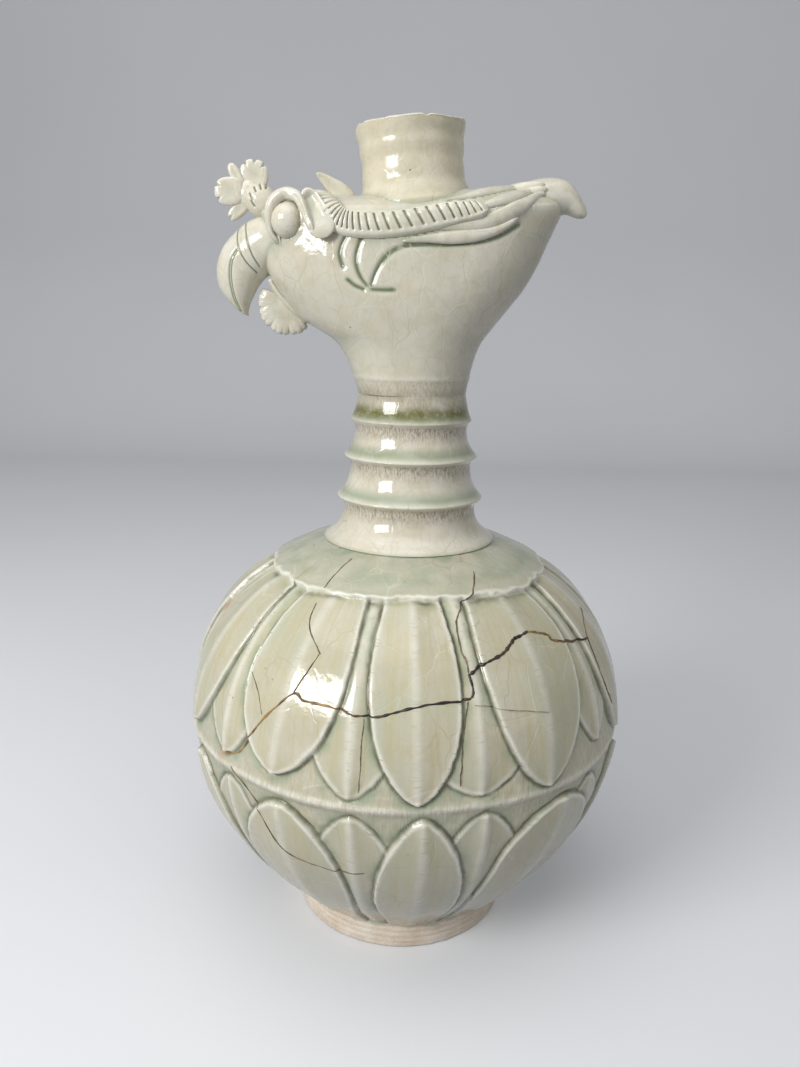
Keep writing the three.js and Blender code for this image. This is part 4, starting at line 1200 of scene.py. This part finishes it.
def fan_outline(start, end, lobes, reach, notch, back, ticks):
    """The outline of a frilled fan: round lobes from one turn to another, in degrees, and a plain back."""
    def outline(turn):
        degrees = np.degrees(turn) % 360.0
        share = (degrees - start) / (end - start)
        frill = np.abs(np.sin(pi * lobes * share)) ** 0.5
        radius = reach - notch * (1.0 - frill)
        radius = radius - 0.45 * np.abs(np.cos(pi * lobes * ticks * share)) ** 6
        inside = smoothstep(-0.06, 0.03, share) * smoothstep(1.06, 0.97, share)
        return back + (radius - back) * inside

    return outline


WATTLE_FROM = 145
WATTLE_TO = 316
FOLDS_TO = 312


def wattle():
    def folds(turn, spread):
        share = (np.degrees(turn) % 360.0 - WATTLE_FROM) / (FOLDS_TO - WATTLE_FROM)
        return 0.2 * np.cos(2 * pi * 4 * share + pi) * spread**3 - 0.3 * bell(spread - 0.45, 0.3)

    middle = on_face([(10.5, -30.5)])[0]
    outline = fan_outline(WATTLE_FROM, WATTLE_TO, 4, 13.4, 1.0, 6.0, ticks=3)
    return disc(middle, outline, 3.4, columns=240, rows=44, relief=folds)


def crest_knob():
    x, z = on_face([(0, 11.5)])[0]
    return ball((x, 0.0, z), (8.6, 6.6, 6.8), 32, columns=120, rows=80)


# The flower's petals: tip, root, half width, number of little lobes, and how far aside each stands
FLOWER_PETALS = [
    ((-69.0, 348.0), (-70.0, 335.0), 6.2, 4, 0.8),
    ((-79.6, 346.0), (-74.0, 336.0), 2.5, 1, 0.2),
    ((-86.0, 334.2), (-73.0, 335.2), 5.8, 3, -1.6),
    ((-80.2, 323.8), (-71.5, 331.5), 2.9, 2, -0.4),
]


def flower_petal(tip, root, half_width, lobes, aside):
    """A blunt paddle of clay from the flower's middle to its tip, with little round lobes along its end."""
    tip, root = np.array(tip), np.array(root)
    length = hypot(*(tip - root)) / 2
    heading = np.arctan2(tip[1] - root[1], tip[0] - root[0])
    notches = [1.5 * (2 * (i + 1) / lobes - 1) for i in range(lobes - 1)]

    def outline(turn):
        off = (turn - heading + pi) % (2 * pi) - pi
        blunt = (np.abs(np.cos(off) / length) ** 2.5 + np.abs(np.sin(off) / half_width) ** 2.5) ** -0.4
        return blunt * (1.0 - 0.2 * sum(bell(off - notch, 0.11) for notch in notches))

    def hollow(turn, spread):
        return -0.35 * bell(spread, 0.7)

    return disc((tip + root) / 2, outline, 1.8, columns=150, rows=36, relief=hollow, aside=aside)


def crest_flower():
    """The flower's petals, which overlap at their roots, and its boss, in one piece."""
    x, z = on_face([(-6.2, 14.6)])[0]
    parts = [flower_petal(*petal) for petal in FLOWER_PETALS]
    parts.append(ball((x, 0.0, z), (5.0, 3.4, 5.6), 30, columns=48, rows=30))
    bm = joined(parts)
    for part in parts:
        bpy.data.meshes.remove(part)
    return smooth_mesh(bm)


def crown_leaf():
    """An upright leaf, hollow on its faces and rounded at its rim."""
    def scoop(turn, share):
        return -1.3 * np.cos(turn) ** 2 * np.sin(pi * share)

    return lobe(
        upper=[(-25.0, 331.5), (-26.6, 335.2), (-30.1, 338.6), (-35.0, 341.0), (-39.5, 343.0),
               (-42.6, 343.4)],
        lower=[(-32.5, 328.0), (-34.2, 331.2), (-36.8, 334.2), (-39.4, 337.4), (-41.6, 340.1),
               (-43.2, 341.9)],
        half_width=lambda share: 3.6 - 0.8 * share,
        columns=80, rows=90, relief=scoop, blunt=0.1)


def tail_crest():
    return lobe(
        upper=on_nape([(-36, -3.5), (-22, 1.3), (-11, 5.0), (-1.4, 6.6), (6.8, 4.6), (12.5, -2.4),
                       (15.3, -7.2)]),
        lower=on_nape([(-28, -9.0), (-14, -8.5), (-6, -10), (0, -10), (5.5, -8.0), (10.5, -9.3),
                       (14.0, -9.5)]),
        half_width=lambda share: (14.0 - 11.5 * share**1.1) * smoothstep(-0.25, 0.5, share),
        columns=120, rows=140, blunt=0.06)


# The grooves in the beak and the commas cut into the knob: where each starts, how long it is and how far
# its end leans
BEAK_LINES = [
    [(-75.8, 322.7), (-75.9, 317.0), (-74.8, 311.3), (-71.9, 306.0), (-67.7, 301.5)],
    [(-72.8, 323.2), (-71.2, 315.0), (-68.9, 308.5), (-66.3, 304.0)],
    [(-74.8, 311.3), (-77.6, 306.5), (-78.6, 300.0), (-77.7, 292.0), (-75.5, 285.5)],
    [(-75.9, 310.6), (-78.6, 306.3), (-79.5, 300.0), (-78.5, 292.0), (-76.2, 285.5)],
]
KNOB_COMMAS = [
    (-70.6, 333.6, 2.4, 1.2), (-68.8, 336.4, 2.0, 1.0), (-66.4, 337.6, 2.0, 0.7), (-64.2, 338.0, 1.8, 0.5),
    (-69.9, 330.6, 2.2, 1.4)]
KNOB_LINES = [[(x, z), (x + 0.5, z - length / 2), (x + lean, z - length)]
              for x, z, length, lean in KNOB_COMMAS]

# For each piece with grooves: their routes, depth and half width, and how strongly glaze pools in them
GROOVES = {"upper_beak": (BEAK_LINES, 0.4, 0.36, 1.0), "crest_knob": (KNOB_LINES, 0.7, 0.45, 0.5)}


# The pieces on each side of the head. Side -1 is the bird's left.

def eyeball(side):
    x, y, z = beside_cheek([(13.6 - HEAD_FRONT, GUNWALE + 2.0, 11.2)])[0]
    return ball((x, side * y, z), (6.9, 6.4, 7.3), 8, columns=96, rows=60)


def brow(side):
    """A ribbon that runs up round the eye and down behind it, thinning towards its start."""
    def half_width(share):
        return 1.0 + 1.5 * smoothstep(0.0, 0.35, share) - 0.9 * smoothstep(0.55, 0.9, share)

    def crease(turn, share):
        return -0.45 * bell(np.cos(turn) - 0.2, 0.35) * (np.sin(turn) > 0) * smoothstep(0.45, 0.65, share)

    route = beside_cheek([
        (-56.0, 312.4, 13.6), (-59.2, 316.4, 13.0), (-60.1, 321.8, 12.0), (-59.0, 327.0, 11.2),
        (-56.2, 330.4, 10.6), (-52.2, 331.6, 9.8), (-48.2, 330.2, 7.8), (-45.8, 326.4, 5.4),
        (-43.6, 321.4, 3.0), (-40.8, 315.8, 1.2)])
    return strap_in_space(
        route, side, 0.2, half_width=half_width,
        half_thickness=lambda share: 2.6 + 0.6 * np.sin(pi * share),
        columns=48, rows=170, relief=crease, end=0.07)


def ear(side):
    """A broad hollow leaf behind the brow, with a rounded tip."""
    def scoop(turn, share):
        hollow = np.clip(1.0 - np.cos(turn) ** 2, 0.0, 1.0) * (np.sin(turn) > 0)
        return -3.6 * hollow * smoothstep(0.0, 0.2, share) * (1.0 - 0.65 * smoothstep(0.35, 0.9, share))

    route = beside_cheek([
        (-45.2, 333.4, 8.0), (-42.7, 329.0, 5.8), (-40.3, 324.2, 3.6), (-38.1, 319.2, 1.8),
        (-36.9, 314.0, 0.4)])
    return strap_in_space(
        route, side, 0.15, half_width=lambda share: 3.2 + 2.2 * smoothstep(0.0, 0.7, share),
        half_thickness=lambda share: 3.0 - 0.5 * share, columns=72, rows=110, relief=scoop, end=0.22)


BAND_HATCHES = 31


def feather_band(side):
    """The band of barbs along the crown's edge, above a smooth rim. The barbs lean back to the tail."""
    def hatches(turn, share):
        across = np.cos(turn) * side
        phase = (share * BAND_HATCHES + 0.42 * across * smoothstep(0.1, 0.4, share)) % 1.0 - 0.5
        barbs = bell(phase, 0.13) * smoothstep(-0.5, -0.36, across) * smoothstep(0.97, 0.85, across)
        face = smoothstep(0.0, 0.3, np.sin(turn))
        ends = smoothstep(0.02, 0.05, share) * smoothstep(0.985, 0.96, share)
        rim = 0.35 * bell(across + 0.68, 0.2)
        return (-0.95 * barbs * ends + rim - 0.3) * face

    def half_width(share):
        return 5.0 - 1.4 * smoothstep(0.7, 1.0, share) - 3.0 * smoothstep(0.22, 0.0, share)

    route = [
        (-46.4, 334.4), (-43.0, 333.6), (-39.8, 331.4), (-36.8, 327.6), (-33.8, 323.4), (-30.2, 320.6),
        (-25.5, 319.6), (-17.4, 319.1), (-6.8, 320.1), (5.0, 322.4), (15.0, 324.6), (22.0, 325.7),
        (28.0, 327.0)]
    return strap_on_skin(
        SKIN_TREE, route, side, 0.6, half_width=half_width, half_thickness=lambda share: 2.1,
        columns=64, rows=320, relief=hatches, end=0.06)


# The routes of the rolls that sweep back to the tail, and the half width where each starts
PLUMES = [
    ([(10.0, 329.6), (20.0, 331.9), (29.0, 334.6), (38.0, 337.0), (46.0, 338.6), (53.0, 339.0)], 3.2),
    ([(21.0, 325.6), (28.0, 328.4), (35.0, 331.2), (42.0, 334.2), (48.0, 336.4), (54.0, 337.2)], 3.0),
    ([(8.0, 318.8), (16.0, 319.7), (25.0, 321.0), (34.0, 324.4), (42.0, 329.0), (48.0, 333.0),
      (53.0, 336.0)], 3.2),
    ([(-6.0, 313.6), (4.5, 314.8), (14.0, 315.5), (24.0, 316.8), (33.0, 319.5), (41.0, 324.6)], 2.7),
]


def plume(side, route, widest, tree):
    """A long roll on head and tail, thinning towards the point where all of them meet."""
    def half_width(share):
        growing = widest * (0.35 + 0.65 * smoothstep(0.0, 0.45, share))
        return growing * (1.0 - 0.5 * smoothstep(0.5, 1.0, share))

    return strap_on_skin(
        tree, route, side, 0.0, half_width=half_width,
        half_thickness=lambda share: 0.7 + 1.0 * smoothstep(0.0, 0.35, share),
        columns=28, rows=130, end=0.1)


# Below this level the glaze around the head's foot is stained like the neck's
STAIN_TOP = HEAD_FOOT + 6.0

# The grooves drawn in the cheeks
CHEEK_GROOVES = [
    [(-28.4, 315.2), (-30.4, 311.1), (-30.8, 307.5), (-29.6, 303.8)],
    [(-22.2, 314.2), (-23.9, 309.1), (-24.0, 304.0), (-22.2, 299.7), (-19.6, 296.4)],
    [(-27.3, 298.5), (-24.5, 296.4), (-21.0, 295.0)],
    [(-17.6, 295.0), (-13.3, 294.8), (-8.7, 294.9)],
    [(-18.0, 296.6), (-15.7, 302.6), (-11.6, 308.2), (-5.5, 311.6), (4.0, 312.6), (13.5, 312.8),
     (24.4, 314.0), (33.7, 317.0), (41.0, 321.6)],
]
CHEEK_GROOVE_DEPTH = 0.75
CHEEK_GROOVE_HALF_WIDTH = 1.05

# How far the nape is swept out under the tail, and how high the bead of glaze on the joint stands
NAPE_SWEEP = 3.4
JOINT_BEAD = 0.3


def carve_head(mesh, trim_tree):
    """Sweeps the nape out, cuts the cheeks' grooves and lets glaze gather by each piece."""
    shares = np.empty(len(mesh.vertices), np.float32)
    mesh.attributes["share"].data.foreach_get("value", shares)
    outside = (shares < OUTSIDE_SHARE + 0.001).astype(float)
    points = points_of(mesh)
    swept = smoothstep(GUNWALE - 2.0, GUNWALE + 9.5, points[:, 2]) * smoothstep(40.0, 57.0, points[:, 0])
    points[:, 0] += NAPE_SWEEP * swept * outside
    on_the_sides = outside * smoothstep(12.0, 18.0, np.abs(points[:, 1]))
    move_points(mesh, points)
    pooled = cut_lines(
        mesh, CHEEK_GROOVES, CHEEK_GROOVE_DEPTH, CHEEK_GROOVE_HALF_WIDTH, on_the_sides)
    points = points_of(mesh)
    lumps = 0.16 * clay_noise(points, 13.0, 41) + 0.05 * clay_noise(points, 4.0, 42)
    joint = JOINT_BEAD * bell(points[:, 2] - STAIN_TOP - 1.0, 1.0)
    rise = smoothstep(HEAD_FOOT, HEAD_FOOT + 4.0, points[:, 2])
    move_points(mesh, points + normals_of(mesh) * ((lumps + joint) * outside * rise)[:, None])
    points = points_of(mesh)
    gaps = gap_to(trim_tree, points)
    corner = np.exp(-gaps / 0.9) * outside
    move_points(mesh, points + normals_of(mesh) * (0.35 * corner * (gaps > 0.15))[:, None])
    return pooled, corner


TRIM_PIECES = {
    "upper_beak": upper_beak,
    "lower_jaw": lower_jaw,
    "wattle": wattle,
    "crest_knob": crest_knob,
    "crest_flower": crest_flower,
    "crown_leaf": crown_leaf,
    "tail_crest": tail_crest,
}
PAIRED_PIECES = {"eyeball": eyeball, "brow": brow, "ear": ear, "feather_band": feather_band}


def head_and_its_trim():
    """Makes the head with every piece on it, and stores where glaze gathers between them."""
    made = {name: make() for name, make in TRIM_PIECES.items()}
    cuts = {name: share * cut_lines(made[name], lines, depth, half_width)
            for name, (lines, depth, half_width, share) in GROOVES.items()}
    tail_tree = tree_of([HEAD_MESH, made["tail_crest"]])
    for side_name, side in (("left", -1), ("right", 1)):
        for name, make in PAIRED_PIECES.items():
            made[name + "_" + side_name] = make(side)
        for i, (route, widest) in enumerate(PLUMES):
            made["plume_%s_%d" % (side_name, i + 1)] = plume(side, route, widest, tail_tree)
    cup_mesh = cup()
    trim_tree = tree_of([*made.values(), cup_mesh])
    pooled, corner = carve_head(HEAD_MESH, trim_tree)
    sharpen_rings(HEAD_MESH, [HEAD_FOOT])
    skin_tree = tree_of([HEAD_MESH])
    for name, mesh in made.items():
        gaps = gap_to(skin_tree, points_of(mesh))
        store_glaze(mesh, 8, 0.22, 0.5 * np.exp(-gaps / 0.7) + 0.9 * cuts.get(name, 0.0))
        add_piece(name + "_glazed", mesh, TRIM_GLAZE, [name])
    gaps = gap_to(skin_tree, points_of(cup_mesh))
    store_glaze(cup_mesh, 10, 0.4, 0.6 * np.exp(-gaps))
    add_piece("cup_glazed", cup_mesh, CUP_GLAZE, ["filling_cup"])
    z = points_of(HEAD_MESH)[:, 2]
    unstained = smoothstep(STAIN_TOP, STAIN_TOP + 4.0, z)
    store_glaze(HEAD_MESH, 12, 0.45, 0.85 * pooled + 0.7 * corner, fade=unstained)
    store(HEAD_MESH, "streak", 0.5 * smoothstep(STAIN_TOP + 0.8, STAIN_TOP, z))
    store(HEAD_MESH, "olive", 0.35 * bell(z - HEAD_FOOT, 3.5))
    add_piece("head_glazed", HEAD_MESH, HEAD_GLAZE, ["head_shell"])


MEND_HEIGHT = 0.42

# The mended breaks: their lacquer, half width and route, in (angle, level) points of the belly
MENDS = {
    "mend_main_left": (GOLDEN_MEND, 0.62, [
        (-47.7, 108.5), (-42.4, 111.8), (-38.7, 120.5), (-34.3, 131.2), (-28.0, 142.4), (-25.0, 140.9),
        (-20.8, 140.8), (-15.7, 140.0), (-13.2, 138.8), (-9.5, 138.4)]),
    "mend_main_right": (DARK_MEND, 0.62, [
        (-10.6, 138.4), (-6.2, 139.2), (-2.8, 140.8), (1.9, 143.0), (9.1, 144.1), (14.1, 144.2),
        (15.6, 144.7), (16.3, 146.9), (15.8, 152.7)]),
    "mend_right": (DARK_MEND, 0.85, [
        (16.0, 152.3), (20.6, 155.2), (26.5, 157.4), (30.2, 160.1), (32.4, 161.6), (38.0, 162.6)]),
    "mend_right_gold": (GOLDEN_MEND, 0.7, [
        (37.4, 162.5), (40.9, 161.3), (44.8, 159.2), (45.7, 157.2), (53.1, 154.2), (55.0, 153.6)]),
    "mend_right_end": (DARK_MEND, 0.6, [(54.4, 153.8), (58.0, 152.7), (62.8, 151.6)]),
    "mend_far_right": (HAIRLINE, 0.12, [(16.1, 142.3), (20.7, 140.8), (24.4, 139.3), (35.2, 135.4)]),
    "mend_upper_left": (HAIRLINE, 0.32, [
        (-28.0, 142.4), (-24.4, 155.5), (-24.4, 157.4), (-30.9, 165.2), (-33.0, 171.0)]),
    "mend_shoulder": (HAIRLINE, 0.16, [(-33.2, 175.6), (-33.9, 179.0), (-33.0, 184.0)]),
    "mend_down_left": (HAIRLINE, 0.18, [(-9.6, 138.0), (-9.9, 128.0), (-9.8, 118.0), (-10.2, 109.5)]),
    "mend_upper_right": (HAIRLINE, 0.4, [
        (15.8, 152.7), (15.6, 156.7), (15.0, 159.8), (15.3, 166.3), (16.6, 169.7), (20.1, 172.8),
        (25.0, 176.3), (32.6, 181.7)]),
    "mend_right_edge": (HAIRLINE, 0.35, [
        (71.6, 160.5), (64.0, 153.1), (61.6, 144.0), (62.3, 132.1), (65.5, 121.4)]),
    "mend_lower_left": (HAIRLINE, 0.28, [
        (-45.1, 104.5), (-40.1, 97.8), (-35.7, 91.1), (-28.5, 74.3), (-16.7, 70.2), (-9.0, 70.4)]),
    "mend_down": (HAIRLINE, 0.26, [(14.8, 143.8), (13.3, 134.9), (12.5, 124.3), (12.1, 112.9)]),
    "mend_fork": (HAIRLINE, 0.13, [(-42.7, 144.5), (-38.7, 139.6), (-35.2, 131.5)]),
}


def belly_skin(angle, z):
    """The point of the carved belly at an angle and a level, and the outward direction there."""
    turn = radians(angle)
    outward = Vector((sin(turn), -cos(turn), 0.0))
    point, normal, _, _ = BELLY_TREE.ray_cast(outward * 140.0 + Vector((0.0, 0.0, z)), -outward)
    return np.array(point), np.array(normal)


def mend_line(name, material, half_width, route):
    """A raised line of lacquer on the belly. It wanders and swells a little, as a brush leaves it."""
    line = along_line(smooth_line(route), np.linspace(0.0, 1.0, 24 * len(route)))
    centres, normals = apart([belly_skin(angle, z) for angle, z in line])
    jitter = 0.22 * np.stack([clay_noise(centres, size, 50) for size in (3.0, 3.3, 3.7)], axis=1)
    centres = centres + jitter - normals * 0.05
    mesh = strap(
        centres, normals,
        half_width=lambda share: half_width * (0.8 + 0.3 * np.sin(23.0 * share) * np.sin(61.0 * share)),
        half_thickness=lambda share: MEND_HEIGHT, columns=10, rows=22 * len(route), end=0.03)
    add_piece(name, mesh, material)


# The studio: a pale floor that curves up behind, a window-like key light and a soft fill. Its sizes and
# places are in metres, its lamps' powers in watts.

BACKDROP_WIDTH = 6.0
FLOOR_FRONT = 3.5
FLOOR_BACK = 1.3
WALL_TOP = 2.6
WALL_BEND = 0.5
LAMPS_FACE = (0.0, 0.0, 0.2)
LAMPS = {
    "window key": ((-0.75, -0.72, 0.62), (0.5, 0.38), 9.8),
    "soft top": ((-0.15, -0.25, 1.5), (1.2, 1.2), 6.5),
    "soft fill": ((0.9, -0.9, 0.6), (0.8, 0.8), 1.6),
}
SKY_COLOUR = "#e9ecf0"
SKY_STRENGTH = 0.42

# The camera, fitted to the photo's view of the neck's ridges, the waist and the shoulder line
CAMERA_PLACE = (-0.0040, -0.3744, 0.2816)
CAMERA_PITCH = 14.31
CAMERA_ROLL = 1.3
SENSOR_WIDTH = 36.0
FOCAL_LENGTH = 27.67


def pale_paper():
    """Matt backdrop paper, with a faint unevenness so that it doesn't look drawn. It is pale to the eye and
    in reflections, but throws only a little light up on the pot."""
    material, tree = new_material("backdrop paper")
    place = add_node(tree, "TexCoord").outputs["Object"]
    path = add_node(tree, "LightPath").outputs
    clouds = add_node(tree, "TexNoise", {"Vector": place, "Scale": 2.0, "Detail": 2.0})
    base = coats(tree, colour("#d3d4d7"), (clouds, "#dbdcde"), (path["Is Diffuse Ray"], "#7e8088"))
    seen = add_node(
        tree, "Math", {0: path["Is Camera Ray"], 1: path["Is Glossy Ray"]}, operation="ADD")
    lift = add_node(tree, "Math", {0: seen, 1: 0.15}, operation="MULTIPLY")
    finish_material(tree, base, 0.9, clouds, 0.2, lift)
    return material


def backdrop():
    """A line along floor, bend and wall, drawn out sideways into one sheet."""
    bm = bmesh.new()
    line = [(-FLOOR_FRONT, 0.0), (FLOOR_BACK, 0.0)]
    line += [(FLOOR_BACK + WALL_BEND * sin(t), WALL_BEND - WALL_BEND * cos(t))
             for t in np.linspace(0.1, pi / 2, 12)]
    line += [(FLOOR_BACK + WALL_BEND, WALL_TOP)]
    verts = [bm.verts.new((-BACKDROP_WIDTH / 2, y, z)) for y, z in line]
    edges = [bm.edges.new(pair) for pair in zip(verts, verts[1:])]
    drawn = bmesh.ops.extrude_edge_only(bm, edges=edges)["geom"]
    moved = [part for part in drawn if isinstance(part, bmesh.types.BMVert)]
    bmesh.ops.translate(bm, verts=moved, vec=(BACKDROP_WIDTH, 0.0, 0.0))
    mesh = smooth_mesh(bm, "backdrop")
    mesh.materials.append(pale_paper())
    put_in_scene("backdrop", mesh)


def lamp(name, place, size, power):
    """A flat lamp that faces the pot."""
    light = bpy.data.lights.new(name, "AREA")
    light.shape = "RECTANGLE"
    light.size, light.size_y = size
    light.energy = power
    rig = put_in_scene(name, light)
    rig.location = place
    rig.rotation_euler = (Vector(LAMPS_FACE) - Vector(place)).to_track_quat("-Z", "Y").to_euler()


def sky():
    """A dim even light from all round."""
    world = bpy.data.worlds.new("studio")
    world.use_nodes = True
    background = world.node_tree.nodes["Background"]
    background.inputs["Color"].default_value = colour(SKY_COLOUR)
    background.inputs["Strength"].default_value = SKY_STRENGTH
    bpy.context.scene.world = world


def camera():
    lens = bpy.data.cameras.new("camera")
    lens.sensor_width = SENSOR_WIDTH
    lens.lens = FOCAL_LENGTH
    lens.clip_start = 0.01
    rig = put_in_scene("camera", lens)
    rig.location = CAMERA_PLACE
    pitched = Matrix.Rotation(radians(90.0 - CAMERA_PITCH), 3, "X")
    rolled = Matrix.Rotation(radians(CAMERA_ROLL), 3, "Z")
    rig.rotation_euler = (pitched @ rolled).to_euler()
    bpy.context.scene.camera = rig


# The whole scene

foot_ring()
neck()
for mend in MENDS:
    mend_line(mend, *MENDS[mend])
add_piece("belly_lower", LOWER_MESH, BODY_GLAZE, ["lower_body"])
add_piece("belly_upper", UPPER_MESH, BODY_GLAZE, ["upper_body"])
head_and_its_trim()
backdrop()
for lamp_name in LAMPS:
    lamp(lamp_name, *LAMPS[lamp_name])
sky()
camera()
bpy.context.scene.view_settings.view_transform = "Standard"
